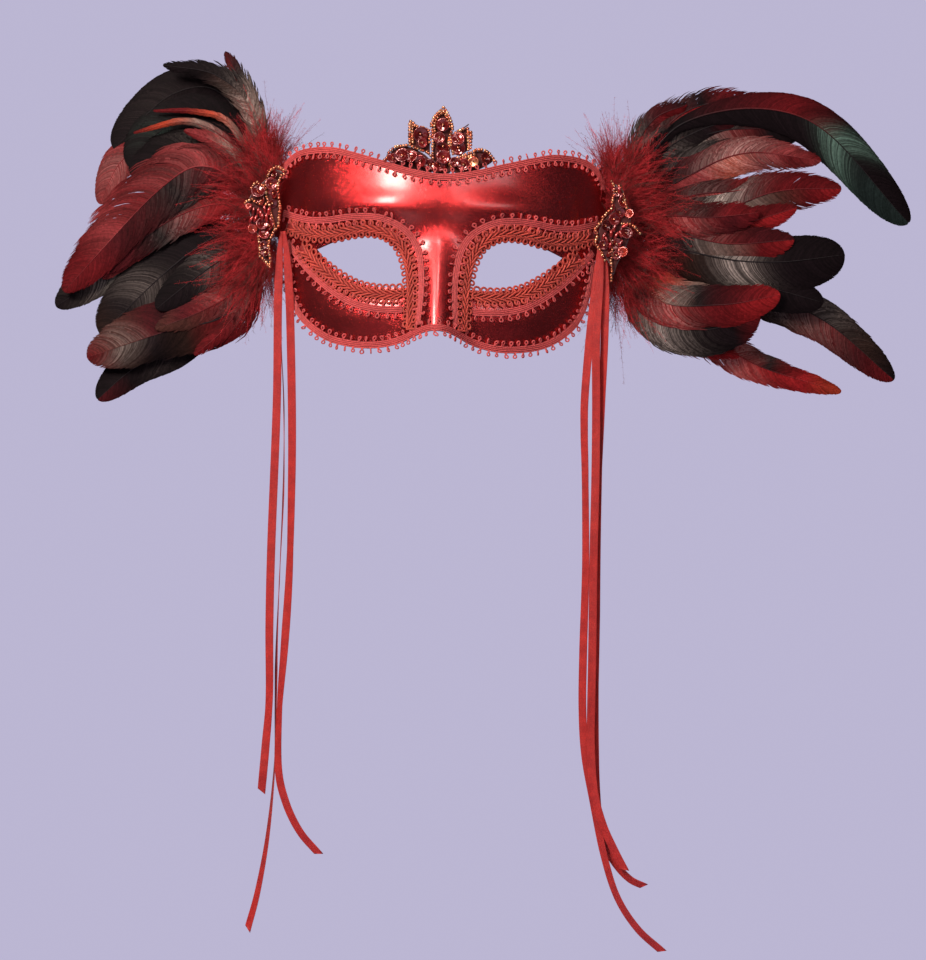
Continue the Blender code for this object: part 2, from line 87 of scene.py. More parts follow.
HALF_OUTLINE = [
    (0, 40.6), (10, 41.6), (20, 43.6), (30, 46.6), (40, 49.4), (50, 52.2), (60, 54.6), (70, 54.8),
    (79, 53.4), (87, 48.5), (93, 42), (96.5, 31), (96.5, 19), (93, 9), (86.5, 3), (84.6, -9),
    (82.4, -21), (79.4, -31), (74.5, -39), (66.6, -45.8), (57.2, -50.6), (47, -53), (36.8, -53.6),
    (27, -52.6), (18, -50.1), (10, -46.4), (5, -44.4), (0, -43.9)]
EYE_UPPER = [(67, -0.6), (56, 3.9), (45.6, 6.1), (35.5, 6.5), (27.6, 3.5), (22.2, -1.6), (19.1, -7.6),
             (17.8, -15), (17.3, -20.9)]
EYE_LOWER = [(17.3, -20.9), (26.2, -21.1), (36, -20.3), (44.7, -18.1), (53.5, -13.6), (60, -8.5),
             (67, -0.6)]
TOP_BRAID = [(0, 39.4), (10, 40.4), (20, 42.4), (30, 45.3), (39, 47.8), (49.5, 50.8), (60, 53.3),
             (70, 53.4), (78.7, 51.8), (84.4, 47.6), (87.4, 42.6), (88, 38.6)]
BOTTOM_BRAID = [(0, -42.7), (5, -43.2), (10.5, -45.2), (18.4, -48.9), (27, -51.4), (36.8, -52.5),
                (46.7, -51.8), (57, -49.5), (66, -44.7), (73.6, -38), (78.2, -30.4), (81.2, -20.6),
                (83.2, -9), (84, -2.4)]
BROW_BRAID = [(86, 19.4), (79, 17), (71, 15.2), (61, 15.2), (50.8, 16.7), (39.9, 17.3), (31, 16.2),
              (22.2, 12.4), (15.7, 7), (11.2, -1), (9.2, -11), (8.6, -21.5), (9, -32), (9.8, -41.3)]
CHEEK_BRAID = [(83.4, 3.4), (79.6, -1.6), (73, -9.8), (65, -17.5), (55.5, -24.8), (45.4, -30.2),
               (34.2, -32.8), (24.5, -33.2), (18.6, -33)]
UPPER_GIMP = [(84.4, 12.6), (78.6, 9.8), (69.3, 7.3), (58.2, 7.2), (47.8, 9.4), (38.6, 10.3),
              (29.4, 8.6), (21.4, 2.6), (17, -7.2), (15.2, -18), (14.6, -30), (14.6, -43)]
LOWER_GIMP = [(18.8, -24.8), (28.1, -25.3), (37.3, -24.6), (46.7, -22.2), (56.2, -16.9), (66, -9.2),
              (72.5, -3.2), (76.4, 0.6)]
EYE_CENTRE = (40.0, -8.0)

BRAID_HALF_WIDTH = 1.9
BRAID_RIDGES = 4
PICOT_PITCH = 4.8
PICOT_RADIUS = 0.86
PICOT_STALK = 1.75
PICOT_THREAD = 0.42
GIMP_CORD = 0.5
GIMP_PITCH = 4.1

CROWN_FRONT = 6.4
TEMPLE_FRONT = 28.2

RIBBON_WIDTH = 4.5
FEATHER_DEPTH = 47.0
FEATHER_SPACING = 1.7
FEATHER_BEND = 0.0011
WING_ROOT = 97.0
FEATHER_ROOT = 98.8
BARB_TILT = 0.07

rng = np.random.default_rng(11)


# ---------------------------------------------------------------- geometry helpers

def smoothstep(value):
    value = np.clip(value, 0.0, 1.0)
    return value * value * (3.0 - 2.0 * value)


def bump(x, z, height, centre_x, centre_z, spread_x, spread_z):
    return height * np.exp(-((x - centre_x) / spread_x) ** 2 - ((z - centre_z) / spread_z) ** 2)


def face_depth(x, z):
    """Depth of the mask's front surface at x, z."""
    side = np.abs(x)
    wrap = WRAP_DEPTH * (1.0 - np.sqrt(1.0 - (np.minimum(side, WRAP_REACH) / WRAP_RADIUS) ** 2))
    fall = (NOSE_TOP - z) / NOSE_LENGTH
    flare = NOSE_FLARE * np.tanh((fall - 0.6) / 0.2)
    lower = NOSE_SOFT_START * np.logaddexp(0.0, fall / NOSE_SOFT_START) + flare + NOSE_FLARE
    nose = NOSE_RISE * lower * np.exp(-(x / (NOSE_HALF_WIDTH + 2.0 * lower)) ** 2)
    forms = (BRIDGE_DIP, SOCKET_DIP, BROW_RISE, CHEEK_RISE)
    bridge, socket, brow, cheek = (bump(side, z, *form) for form in forms)
    lean = FOREHEAD_LEAN * np.maximum(0.0, z - FOREHEAD_START) ** 2
    return wrap - nose + bridge + socket - brow - cheek + lean


def face_normal(x, z):
    step = 0.05
    slope_x = (face_depth(x + step, z) - face_depth(x - step, z)) / (2 * step)
    slope_z = (face_depth(x, z + step) - face_depth(x, z - step)) / (2 * step)
    normal = np.stack([slope_x, -np.ones_like(slope_x), slope_z], axis=-1)
    return normal / np.linalg.norm(normal, axis=-1, keepdims=True)


def on_face(x, z, height):
    """Points at a height above the front surface."""
    x = np.asarray(x, float)
    z = np.asarray(z, float)
    base = np.stack([x, face_depth(x, z), z], axis=-1)
    return base + face_normal(x, z) * np.asarray(height, float)[..., None]


def smooth_line(points, spacing):
    """Catmull-Rom line through the points, read at an even spacing."""
    points = np.asarray(points, float)
    ends = np.vstack([2 * points[0] - points[1], points, 2 * points[-1] - points[-2]])
    t = np.linspace(0.0, 1.0, 24, endpoint=False)[:, None]
    fine = [0.5 * (2 * b + (c - a) * t + (2 * a - 5 * b + 4 * c - d) * t ** 2
                   + (3 * b - a - 3 * c + d) * t ** 3)
            for a, b, c, d in zip(ends, ends[1:], ends[2:], ends[3:])]
    fine = np.vstack(fine + [points[-1:]])
    run = arc_lengths(fine)
    wanted = np.linspace(0.0, run[-1], max(2, round(run[-1] / spacing)) + 1)
    return read(wanted, run, fine)


def read(where, run, values):
    """Rows of values, known at each run, read at other places."""
    return np.stack([np.interp(where, run, column) for column in np.transpose(values)], axis=-1)


def arc_lengths(line):
    return np.concatenate([[0.0], np.cumsum(np.linalg.norm(np.diff(line, axis=0), axis=1))])


def unit(vectors):
    return vectors / np.maximum(np.linalg.norm(vectors, axis=-1, keepdims=True), 1e-9)


def mirrored(points):
    return [(-x, z) for x, z in reversed(points)] + list(points[1:])


class Form:
    """Collects the vertices, faces, tints and lengthwise coordinates of one piece."""

    def __init__(self):
        self.verts = []
        self.faces = []
        self.tints = []
        self.runs = []
        self.count = 0

    def add(self, verts, faces, tint=(1, 1, 1), runs=None):
        verts = np.asarray(verts, float).reshape(-1, 3)
        tint = np.broadcast_to(np.asarray(tint, float), (len(verts), 3))
        runs = np.zeros((len(verts), 2)) if runs is None else np.asarray(runs, float).reshape(-1, 2)
        self.verts.append(verts)
        self.tints.append(tint)
        self.runs.append(runs)
        self.faces.append(np.asarray(faces, int) + self.count)
        self.count += len(verts)

    def sweep(self, rings, closed=False, tint=(1, 1, 1), runs=None):
        """Skin over rings of points: closed into a loop, or capped at both ends."""
        rings = np.asarray(rings, float)
        count, sides = rings.shape[:2]
        index = np.arange(count * sides).reshape(count, sides)
        near = index if closed else index[:-1]
        far = np.roll(index, -1, axis=0) if closed else index[1:]
        quads = np.stack([near, np.roll(near, -1, axis=1), np.roll(far, -1, axis=1), far], axis=-1)
        self.add(rings, quads.reshape(-1, 4), tint, runs)
        if not closed:
            first = self.count - count * sides
            for ring in (index[0][::-1], index[-1]):
                self.fan(first + ring)

    def fan(self, ring):
        """Closes a ring of existing vertices with quads that share its first vertex."""
        quads = [(ring[0], ring[i], ring[i + 1], ring[min(i + 2, len(ring) - 1)])
                 for i in range(1, len(ring) - 1, 2)]
        self.faces.append(np.asarray(quads, int))

    def strips(self, edges, tint):
        """Narrow bands; edges holds, for each band and step, its left and right point."""
        index = np.arange(edges.size // 3).reshape(edges.shape[:3])
        quads = np.stack([index[:, :-1, 0], index[:, :-1, 1], index[:, 1:, 1], index[:, 1:, 0]], axis=-1)
        self.add(edges, quads.reshape(-1, 4), tint)

    def tube(self, line, radius, reference, sides=5, tint=(1, 1, 1)):
        """Round thread along a line; reference is a direction that the line never follows."""
        line = np.asarray(line, float)
        tangent = unit(np.gradient(line, axis=0))
        across = unit(np.cross(tangent, np.broadcast_to(reference, tangent.shape)))
        above = np.cross(across, tangent)
        angle = np.linspace(0.0, math.tau, sides, endpoint=False)
        radius = np.broadcast_to(radius, (len(line),))[:, None, None]
        rings = line[:, None, :] + radius * (across[:, None, :] * np.cos(angle)[:, None]
                                             + above[:, None, :] * np.sin(angle)[:, None])
        if np.ndim(tint) > 1:
            tint = np.repeat(tint, sides, axis=0)
        self.sweep(rings, tint=tint)

    def finish(self, name, material, body=MASK, nodes=()):
        mesh = bpy.data.meshes.new(name)
        verts = np.concatenate(self.verts) * MM
        polygons = []
        for block in self.faces:
            for face in block.tolist():
                polygons.append(face[:3] if len(face) == 4 and face[2] == face[3] else face)
        mesh.from_pydata(verts.tolist(), [], polygons)
        tint = mesh.color_attributes.new("tint", "FLOAT_COLOR", "POINT")
        colours = np.concatenate([np.concatenate(self.tints), np.ones((len(verts), 1))], axis=1)
        tint.data.foreach_set("color", colours.ravel())
        run = mesh.attributes.new("run", "FLOAT_VECTOR", "POINT")
        runs = np.concatenate([np.concatenate(self.runs), np.zeros((len(verts), 1))], axis=1)
        run.data.foreach_set("vector", runs.ravel())
        mesh.materials.append(material)
        mesh.shade_smooth()
        mesh.update()
        return place(bpy.data.objects.new(name, mesh), body, nodes)


def place(piece, body=MASK, nodes=()):
    """Links a piece, makes it ride on its body and stand for its CAD nodes."""
    bpy.context.scene.collection.objects.link(piece)
    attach(piece, body)
    if nodes:
        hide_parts(*nodes)
    return piece


# ---------------------------------------------------------------- materials

class Nodes:
    """Short calls for the node tree of one material."""

    def __init__(self, name):
        self.material = bpy.data.materials.new(name)
        self.material.use_nodes = True
        self.tree = self.material.node_tree
        self.shader = self.tree.nodes["Principled BSDF"]

    def set(self, **values):
        for key, value in values.items():
            self.shader.inputs[key.replace("_", " ")].default_value = value

    def node(self, kind, **inputs):
        node = self.tree.nodes.new("ShaderNode" + kind)
        for key, value in inputs.items():
            socket = node.inputs[key.replace("_", " ")]
            if isinstance(value, bpy.types.NodeSocket):
                self.tree.links.new(value, socket)
            else:
                socket.default_value = value
        return node

    def position(self):
        return self.node("TexCoord").outputs["Object"]

    def attribute(self, name, output="Vector"):
        node = self.node("Attribute")
        node.attribute_name = name
        return node.outputs[output]

    def noise(self, scale, detail=3.0, roughness=0.6):
        return self.node("TexNoise", Vector=self.position(), Scale=scale, Detail=detail,
                         Roughness=roughness).outputs["Fac"]

    def ramp(self, factor, stops):
        node = self.node("ValToRGB", Fac=factor)
        elements = node.color_ramp.elements
        while len(elements) < len(stops):
            elements.new(0.5)
        for element, (place_at, colour) in zip(elements, stops):
            element.position = place_at
            element.color = (*colour, 1.0)
        return node.outputs["Color"]

    def spread(self, factor, low, high):
        return self.node("MapRange", Value=factor, To_Min=low, To_Max=high).outputs["Result"]

    def mix(self, kind, factor, a, b):
        node = self.tree.nodes.new("ShaderNodeMix")
        node.data_type = "RGBA"
        node.blend_type = kind
        for socket, value in ((node.inputs[0], factor), (node.inputs[6], a), (node.inputs[7], b)):
            if isinstance(value, bpy.types.NodeSocket):
                self.tree.links.new(value, socket)
            else:
                socket.default_value = value
        return node.outputs[2]

    def link(self, output, name):
        self.tree.links.new(output, self.shader.inputs[name])

    def bump(self, height, strength, distance):
        node = self.node("Bump", Height=height, Strength=strength, Distance=distance)
        self.link(node.outputs["Normal"], "Normal")

    def tinted(self, colour):
        return self.mix("MULTIPLY", 1.0, colour, self.attribute("tint", "Color"))


def shell_material():
    """Metallic red foil with a fine sparkle and a soft satin gloss."""
    n = Nodes("metallic_red_foil")
    grain = n.noise(2600.0, 2.0, 0.7)
    cloud = n.noise(38.0, 3.0, 0.55)
    deep = n.ramp(cloud, [(0.3, (0.46, 0.020, 0.024)), (0.7, (0.62, 0.045, 0.045))])
    fleck = n.ramp(grain, [(0.42, (0.66, 0.6, 0.6)), (0.64, (1.4, 1.3, 1.3))])
    n.link(n.mix("MULTIPLY", 0.85, deep, fleck), "Base Color")
    n.link(n.spread(grain, 0.17, 0.32), "Roughness")
    n.set(Metallic=0.97, Coat_Weight=0.9, Coat_Roughness=0.22, Coat_IOR=1.5)
    n.bump(grain, 0.55, 0.00025)
    return n.material


def felt_material(name, dark, light):
    n = Nodes(name)
    fuzz = n.noise(1500.0, 5.0, 0.75)
    n.link(n.ramp(fuzz, [(0.3, dark), (0.7, light)]), "Base Color")
    n.link(n.spread(fuzz, 0.82, 1.0), "Roughness")
    n.set(Sheen_Weight=0.35, Sheen_Roughness=0.5)
    n.bump(fuzz, 0.6, 0.0004)
    return n.material


def thread_material(name, dark, light, twist):
    """Rayon thread: colour that varies from strand to strand, with a fine twist."""
    n = Nodes(name)
    strand = n.noise(900.0, 3.0, 0.6)
    patch = n.noise(70.0, 2.0, 0.5)
    body = n.ramp(strand, [(0.25, dark), (0.75, light)])
    faded = n.ramp(patch, [(0.35, (0.86, 0.84, 0.84)), (0.7, (1.08, 1.06, 1.06))])
    n.link(n.mix("MULTIPLY", 1.0, n.tinted(body), faded), "Base Color")
    n.link(n.spread(strand, 0.42, 0.68), "Roughness")
    n.set(Sheen_Weight=0.1, Sheen_Roughness=0.4, Specular_IOR_Level=0.4)
    wave = n.node("TexWave", Vector=n.position(), Scale=twist, Distortion=4.0, Detail=2.0)
    n.bump(wave.outputs["Fac"], 0.5, 0.0002)
    return n.material


def ribbon_material():
    """Double-faced satin: fine ribs across the ribbon and a soft shine along it."""
    n = Nodes("red_satin")
    run = n.attribute("run")
    ribs = n.node("TexWave", Vector=run, Scale=5.0, Distortion=0.6, Detail=1.0)
    ribs.bands_direction = "X"
    streak = n.noise(160.0, 3.0, 0.5)
    fleck = n.noise(1400.0, 2.0, 0.6)
    body = n.ramp(streak, [(0.3, (0.36, 0.012, 0.012)), (0.7, (0.50, 0.022, 0.018))])
    weave = n.ramp(fleck, [(0.35, (0.8, 0.75, 0.75)), (0.7, (1.25, 1.5, 1.4))])
    n.link(n.mix("MULTIPLY", 0.8, body, weave), "Base Color")
    n.link(n.spread(ribs.outputs["Fac"], 0.42, 0.6), "Roughness")
    n.set(Sheen_Weight=0.05, Anisotropic=0.5, Specular_IOR_Level=0.35)
    n.bump(ribs.outputs["Fac"], 0.35, 0.0001)
    return n.material


def grained_material(name, grain, stops, roughness, **settings):
    """Material whose tint and roughness vary with one noise."""
    n = Nodes(name)
    patch = n.noise(*grain)
    n.link(n.tinted(n.ramp(patch, stops)), "Base Color")
    n.link(n.spread(patch, *roughness), "Roughness")
    n.set(**settings)
    return n.material


def bead_material():
    """Copper-lined glass seed beads, each a little different."""
    return grained_material(
        "copper_lined_glass", (420.0, 1.0, 0.5),
        [(0.3, (0.42, 0.05, 0.03)), (0.52, (0.72, 0.22, 0.10)), (0.68, (0.86, 0.48, 0.26))], (0.1, 0.3),
        Metallic=0.72, Coat_Weight=0.7, Coat_Roughness=0.05)


def stone_material():
    return grained_material(
        "dark_red_sequin", (260.0, 2.0, 0.5), [(0.3, (0.13, 0.004, 0.006)), (0.7, (0.30, 0.016, 0.014))],
        (0.12, 0.26), Metallic=0.45, Coat_Weight=0.8, Coat_Roughness=0.06, Specular_IOR_Level=0.6)


def feather_material():
    """Barbs tinted along the feather and streaked along the barbs."""
    return grained_material(
        "rooster_feather", (700.0, 3.0, 0.6), [(0.3, (0.76, 0.74, 0.74)), (0.7, (1.24, 1.2, 1.2))],
        (0.5, 0.7), Specular_IOR_Level=0.035)


def down_material():
    return grained_material(
        "red_down", (75.0, 3.0, 0.6), [(0.32, (0.4, 0.36, 0.36)), (0.66, (1.3, 1.25, 1.25))], (0.75, 0.95),
        Sheen_Weight=0.3, Sheen_Roughness=0.5, Sheen_Tint=(1.0, 0.35, 0.35, 1.0), Specular_IOR_Level=0.1)


# ---------------------------------------------------------------- shell and lining

def closed_outline(spacing):
    half = smooth_line(HALF_OUTLINE, spacing)
    half[0, 0] = 0.0
    half[-1, 0] = 0.0
    left = half[1:-1][::-1] * (-1, 1)
    return np.vstack([half, left])


def eye_outline(side, spacing):
    lids = [smooth_line(lid, spacing)[:-1] for lid in (EYE_UPPER, EYE_LOWER)]
    return np.vstack(lids) * (side, 1)


def prism(name, outline):
    """Closed cutter with a flat outline that runs through the whole mask along Y."""
    form = bmesh.new()
    face = form.faces.new([form.verts.new((x * MM, CUTTER_FRONT * MM, z * MM)) for x, z in outline])
    grown = bmesh.ops.extrude_face_region(form, geom=[face])
    moved = [item for item in grown["geom"] if isinstance(item, bmesh.types.BMVert)]
    bmesh.ops.translate(form, verts=moved, vec=(0, CUTTER_LENGTH * MM, 0))
    bmesh.ops.recalc_face_normals(form, faces=form.faces)
    mesh = bpy.data.meshes.new(name)
    form.to_mesh(mesh)
    form.free()
    cutter = bpy.data.objects.new(name, mesh)
    bpy.context.scene.collection.objects.link(cutter)
    return cutter


def face_sheet(name, depth, thickness, columns, rows, material, node):
    """Curved sheet at a depth behind the front surface, cut to the outline and the eyes."""
    form = bmesh.new()
    bmesh.ops.create_grid(form, x_segments=columns, y_segments=rows, size=1.0)
    spots = np.array([vert.co for vert in form.verts])
    x = SHEET_HALF_WIDTH * (0.7 * spots[:, 0] + 0.3 * spots[:, 0] ** 3)
    z = SHEET_HALF_HEIGHT * spots[:, 1]
    for vert, spot in zip(form.verts, on_face(x, z, np.full(len(x), -depth)) * MM):
        vert.co = spot
    mesh = bpy.data.meshes.new(name)
    form.to_mesh(mesh)
    form.free()
    sheet = bpy.data.objects.new(name, mesh)
    bpy.context.scene.collection.objects.link(sheet)
    solid = sheet.modifiers.new("thickness", "SOLIDIFY")
    solid.thickness = thickness * MM
    solid.offset = -1.0
    cutters = [(prism("cut_outline", closed_outline(1.5)), "INTERSECT")]
    cutters += [(prism("cut_eye", eye_outline(side, 1.2)), "DIFFERENCE") for side in (-1, 1)]
    for cutter, operation in cutters:
        cut = sheet.modifiers.new("cut", "BOOLEAN")
        cut.object = cutter
        cut.operation = operation
        cut.solver = "EXACT"
    bpy.context.view_layer.update()
    done = bpy.data.meshes.new_from_object(sheet.evaluated_get(bpy.context.evaluated_depsgraph_get()))
    for old in [sheet] + [cutter for cutter, _ in cutters]:
        bpy.data.objects.remove(old)
    done.materials.clear()
    done.materials.append(material)
    done.shade_smooth()
    done.set_sharp_from_angle(angle=math.radians(40))
    return place(bpy.data.objects.new(name, done), nodes=(node,))


def make_shell():
    face_sheet("satin_shell", 0.0, SHELL_THICKNESS, 130, 80, shell_material(), "mask_shell")
    black = felt_material("black_flock", (0.006, 0.005, 0.006), (0.03, 0.026, 0.028))
    face_sheet("flocked_lining", LINING_DEPTH, LINING_THICKNESS, 90, 56, black, "inner_lining")
    make_patches(black)


def make_patches(material):
    """Felt patches inside the temples, oversewn along their upright edges."""
    thread = thread_material("dark_stitching", (0.05, 0.006, 0.006), (0.16, 0.02, 0.02), 900.0)
    x, z = np.meshgrid(np.linspace(*PATCH_X, 22), np.linspace(*PATCH_Z, 40))
    margin = np.minimum.reduce([x - PATCH_X[0], PATCH_X[1] - x, z - PATCH_Z[0], PATCH_Z[1] - z])
    rounding = 0.35 * np.exp(-margin / 0.8)
    share = np.linspace(-1, 1, 6)
    for label, side in SIDES:
        front = on_face(side * x, z, PATCH_FRONT)
        back = on_face(side * x, z, PATCH_BACK + rounding)
        form = Form()
        form.sweep(np.concatenate([back, front[:, ::-1]], axis=1))
        form.finish(label + "_felt_patch", material, nodes=(label + "_inner_patch",))
        stitches = Form()
        for spot_z in 10.0 + 27.0 * np.arange(26) / 25:
            for inner, outer, outward in ((76.2, 79.4, -1), (89.8, 92.6, 1)):
                along = np.linspace(inner, outer, 6)
                height = PATCH_BACK - 0.35 + 1.4 * share ** 4 * (share * outward > 0)
                line = on_face(side * along, spot_z + 0.25 * (along - inner), height)
                stitches.tube(line, 0.2, (0, 0, 1))
        stitches.finish(label + "_patch_stitches", thread)


# ---------------------------------------------------------------- braid and gimp

class Trim:
    """A line on the face, with points given by run along it, offset across it and height."""

    def __init__(self, points):
        flat = smooth_line(points, 0.5)
        base = on_face(flat[:, 0], flat[:, 1], np.zeros(len(flat)))
        self.run = arc_lengths(base)
        self.flat = flat
        tangent = unit(np.gradient(base, axis=0))
        normal = face_normal(flat[:, 0], flat[:, 1])
        self.side = unit(np.cross(normal, tangent))
        self.length = self.run[-1]

    def at(self, run, offset, height):
        run, offset, height = np.broadcast_arrays(np.asarray(run, float), offset, height)
        start = unit(self.flat[1] - self.flat[0])
        end = unit(self.flat[-1] - self.flat[-2])
        before = np.minimum(run, 0.0)[..., None]
        after = np.maximum(run - self.length, 0.0)[..., None]
        spot = read(run, self.run, self.flat) + before * start + after * end
        spot = spot + read(run, self.run, self.side[:, ::2]) * offset[..., None]
        return on_face(spot[..., 0], spot[..., 1], height)

    def normals(self, run):
        spot = read(run, self.run, self.flat)
        return face_normal(spot[..., 0], spot[..., 1])

    def side_towards(self, spot):
        """+1 or -1: the side of the line on which a point of the front view lies."""
        middle = len(self.flat) // 2
        to_spot = np.array(spot) - self.flat[middle]
        return 1.0 if self.side[middle, 0] * to_spot[0] + self.side[middle, 2] * to_spot[1] > 0 else -1.0


# Across one cord of a braid: place as a share of the cord's width, drop from its top, and brightness:
# painted shade in the grooves and a painted highlight on the top of the cord.
CORD_PROFILE = [(-0.47, -0.5, 0.42), (-0.3, -0.14, 0.9), (0.0, 0.0, 1.12), (0.3, -0.14, 0.9),
                (0.47, -0.5, 0.42)]


def braid_band(form, trim):
    """Flat woven band with lengthwise cords, with shade painted darker into its grooves and along its
    edges.
    """
    pitch = 2 * BRAID_HALF_WIDTH / BRAID_RIDGES
    # The band's edges carry a painted shade.
    section = [(-BRAID_HALF_WIDTH, 0.25, 0.5)]
    for ridge in range(BRAID_RIDGES):
        centre = -BRAID_HALF_WIDTH + pitch * (ridge + 0.5)
        lift = 1.2 + 0.12 * math.cos(math.pi * (ridge - 1.5) / 3)
        section += [(centre + share * pitch, lift + rise, tone) for share, rise, tone in CORD_PROFILE]
    section.append((BRAID_HALF_WIDTH, 0.25, 0.5))
    offsets, heights, cord_shading = np.array(section).T
    runs = np.linspace(0.0, trim.length, round(trim.length / 0.6))
    flutter = 1.0 + 0.02 * np.sin(runs * 1.7)
    slant = np.sin(runs[:, None] * 5.2 + offsets * 2.0)
    rings = trim.at(runs[:, None], offsets * flutter[:, None], heights + 0.07 * slant)
    # Where the slanting threads rise the band is painted lighter, and where they sink darker: painted light
    # and shade.
    shade = cord_shading * (1.0 + 0.14 * slant)
    form.sweep(rings, tint=np.repeat(shade.reshape(-1, 1), 3, axis=1))


def picots(form, trim):
    """Small thread rings on short stalks along both edges of a braid."""
    count = round(trim.length / PICOT_PITCH)
    turn = np.radians(np.linspace(-52.0, 232.0, 11))
    ring_x = PICOT_RADIUS * np.cos(turn)
    ring_y = PICOT_STALK + PICOT_RADIUS * np.sin(turn)
    loop_x = np.concatenate([[0.3, 0.22], ring_x, [-0.22, -0.3]])
    loop_y = np.concatenate([[-0.5, 0.55], ring_y, [0.55, -0.5]])
    for edge in (-1, 1):
        for number in range(count):
            centre = trim.length * (number + 0.5 + 0.25 * edge) / count + rng.normal(0, 0.3)
            twist = rng.normal(0, 0.55)
            size = rng.uniform(0.86, 1.1)
            lean = rng.normal(0, 0.16)
            run = centre + size * (loop_x * math.cos(twist) + lean * loop_y)
            offset = edge * (BRAID_HALF_WIDTH + loop_y * size)
            height = 0.75 + 0.12 * loop_y * rng.uniform(0.2, 1.6) + loop_x * math.sin(twist)
            tint = [rng.uniform(0.85, 1.15)] * 3
            form.tube(trim.at(run, offset, height), PICOT_THREAD, trim.normals(centre), tint=tint)


def gimp_side(form, trim, edge, reach, loop, heading, shift):
    """Scrolls along one side: each cord loops outside, then sweeps to the middle of the gimp."""
    turn = np.radians(np.linspace(-75.0, 262.0, 15))
    tail_x = np.array([0.9, 2.2, 3.6, 5.0, 6.2]) * GIMP_PITCH / 4.0
    low = reach - loop
    tail_y = np.array([low - 0.02, low * 0.78, low * 0.46, low * 0.22, 0.1])
    path_x = np.concatenate([loop * np.cos(turn), tail_x])
    path_y = np.concatenate([reach + loop * np.sin(turn), tail_y])
    height = np.concatenate([0.95 + 0.25 * np.cos(turn), [1.0, 1.25, 1.45, 1.3, 0.8]])
    line = smooth_line(np.stack([path_x, path_y, height], axis=-1), 0.62)
    last = len(line) - 1
    thick = GIMP_CORD * np.interp(np.arange(len(line)), [0, 0.6 * len(line), last], [1.2, 1.2, 0.9])
    count = round((trim.length - 1.0) / GIMP_PITCH)
    for number in range(count):
        centre = (number + 0.5 + shift) * trim.length / count
        size = rng.uniform(0.92, 1.06)
        run = centre + heading * line[:, 0] * size
        inside = np.clip(run, -0.6, trim.length + 0.6)
        tone = rng.uniform(0.86, 1.12)
        # Cords are painted darker where they lie low and lighter where they rise: painted shade.
        shade = np.repeat((tone * (0.62 + 0.32 * line[:, 2]))[:, None], 3, axis=1)
        points = trim.at(inside, edge * line[:, 1], line[:, 2] + rng.normal(0, 0.05))
        form.tube(points, thick, trim.normals(np.clip(centre, 0, trim.length)), 6, shade)


# Offset and height across the band under the scrolls.
GIMP_SECTION = [(-2.4, 0.25), (-2.2, 0.55), (0.0, 0.85), (2.2, 0.55), (2.4, 0.25)]


def gimp(name, points, centre, material, heading, eye_reach, eye_loop, outer_reach, outer_loop):
    """Scroll gimp: a herringbone middle with scrolls beside the eye and smaller ones outside."""
    trim = Trim(points)
    eye = trim.side_towards(centre)
    form = Form()
    runs = np.linspace(0.3, trim.length - 0.3, round(trim.length / 1.5))
    form.sweep(trim.at(runs[:, None], *np.array(GIMP_SECTION).T), tint=(0.55, 0.22, 0.3))
    gimp_side(form, trim, eye, eye_reach, eye_loop, heading, 0.0)
    gimp_side(form, trim, -eye, outer_reach, outer_loop, heading, 0.45)
    return form.finish(name + "_scroll_gimp", material, nodes=(name,))


def braid(name, points, material):
    trim = Trim(points)
    form = Form()
    braid_band(form, trim)
    picots(form, trim)
    return form.finish(name + "_picot", material, nodes=(name,))


def make_trim():
    coral = thread_material("coral_rayon", (0.46, 0.042, 0.044), (0.82, 0.118, 0.115), 700.0)
    orange = thread_material("orange_rayon", (0.38, 0.030, 0.020), (0.68, 0.088, 0.056), 800.0)
    braid("top_edge_braid", mirrored(TOP_BRAID), coral)
    braid("bottom_edge_braid", mirrored(BOTTOM_BRAID), coral)
    for label, side in SIDES:
        brow, cheek, upper, lower = (np.array(line) * (side, 1)
                                     for line in (BROW_BRAID, CHEEK_BRAID, UPPER_GIMP, LOWER_GIMP))
        centre = (side * EYE_CENTRE[0], EYE_CENTRE[1])
        braid(label + "_brow_braid", brow, coral)
        braid(label + "_cheek_braid", cheek, coral)
        gimp(label + "_upper_eye_gimp", upper, centre, orange, 1, 2.75, 1.4, 3.7, 1.35)
        gimp(label + "_lower_eye_gimp", lower, centre, orange, -1, 4.0, 1.72, 3.4, 1.3)


# ---------------------------------------------------------------- beads, sequins, appliques

def bead(form, centre, axis, radius, tone):
    """Seed bead: a fat ring round its hole, with the hole along its string."""
    axis = unit(np.asarray(axis, float))
    across = unit(np.cross(axis, (0.0, 1.0, 0.13)))
    above = np.cross(axis, across)
    turn = np.linspace(0.0, math.tau, 9, endpoint=False)
    ring = np.linspace(0.0, math.tau, 6, endpoint=False)
    major, minor = 0.56 * radius, 0.46 * radius
    out = across * np.cos(turn)[:, None] + above * np.sin(turn)[:, None]
    rings = (np.asarray(centre, float) + out[:, None, :] * (major + minor * np.cos(ring))[:, None]
             + axis * (1.8 * minor * np.sin(ring))[:, None])
    form.sweep(rings, closed=True, tint=(tone, tone, tone))


def bead_string(form, points, radius, pitch, jitter=0.1):
    line = smooth_line(points, pitch)
    tangent = unit(np.gradient(line, axis=0))
    for spot, along in zip(line, tangent):
        spot = spot + rng.normal(0, jitter, 3)
        bead(form, spot, along + rng.normal(0, 0.12, 3), radius * rng.uniform(0.88, 1.1),
             rng.uniform(0.55, 1.35))


# Radius and height of a sequin's section, as shares of its radius, round from the hole's front edge.
SEQUIN_SECTION = [(0.12, 0.0), (0.5, 0.0), (0.78, 0.10), (1.0, 0.26), (1.0, 0.32), (0.76, 0.18),
                  (0.5, 0.08), (0.12, 0.08)]


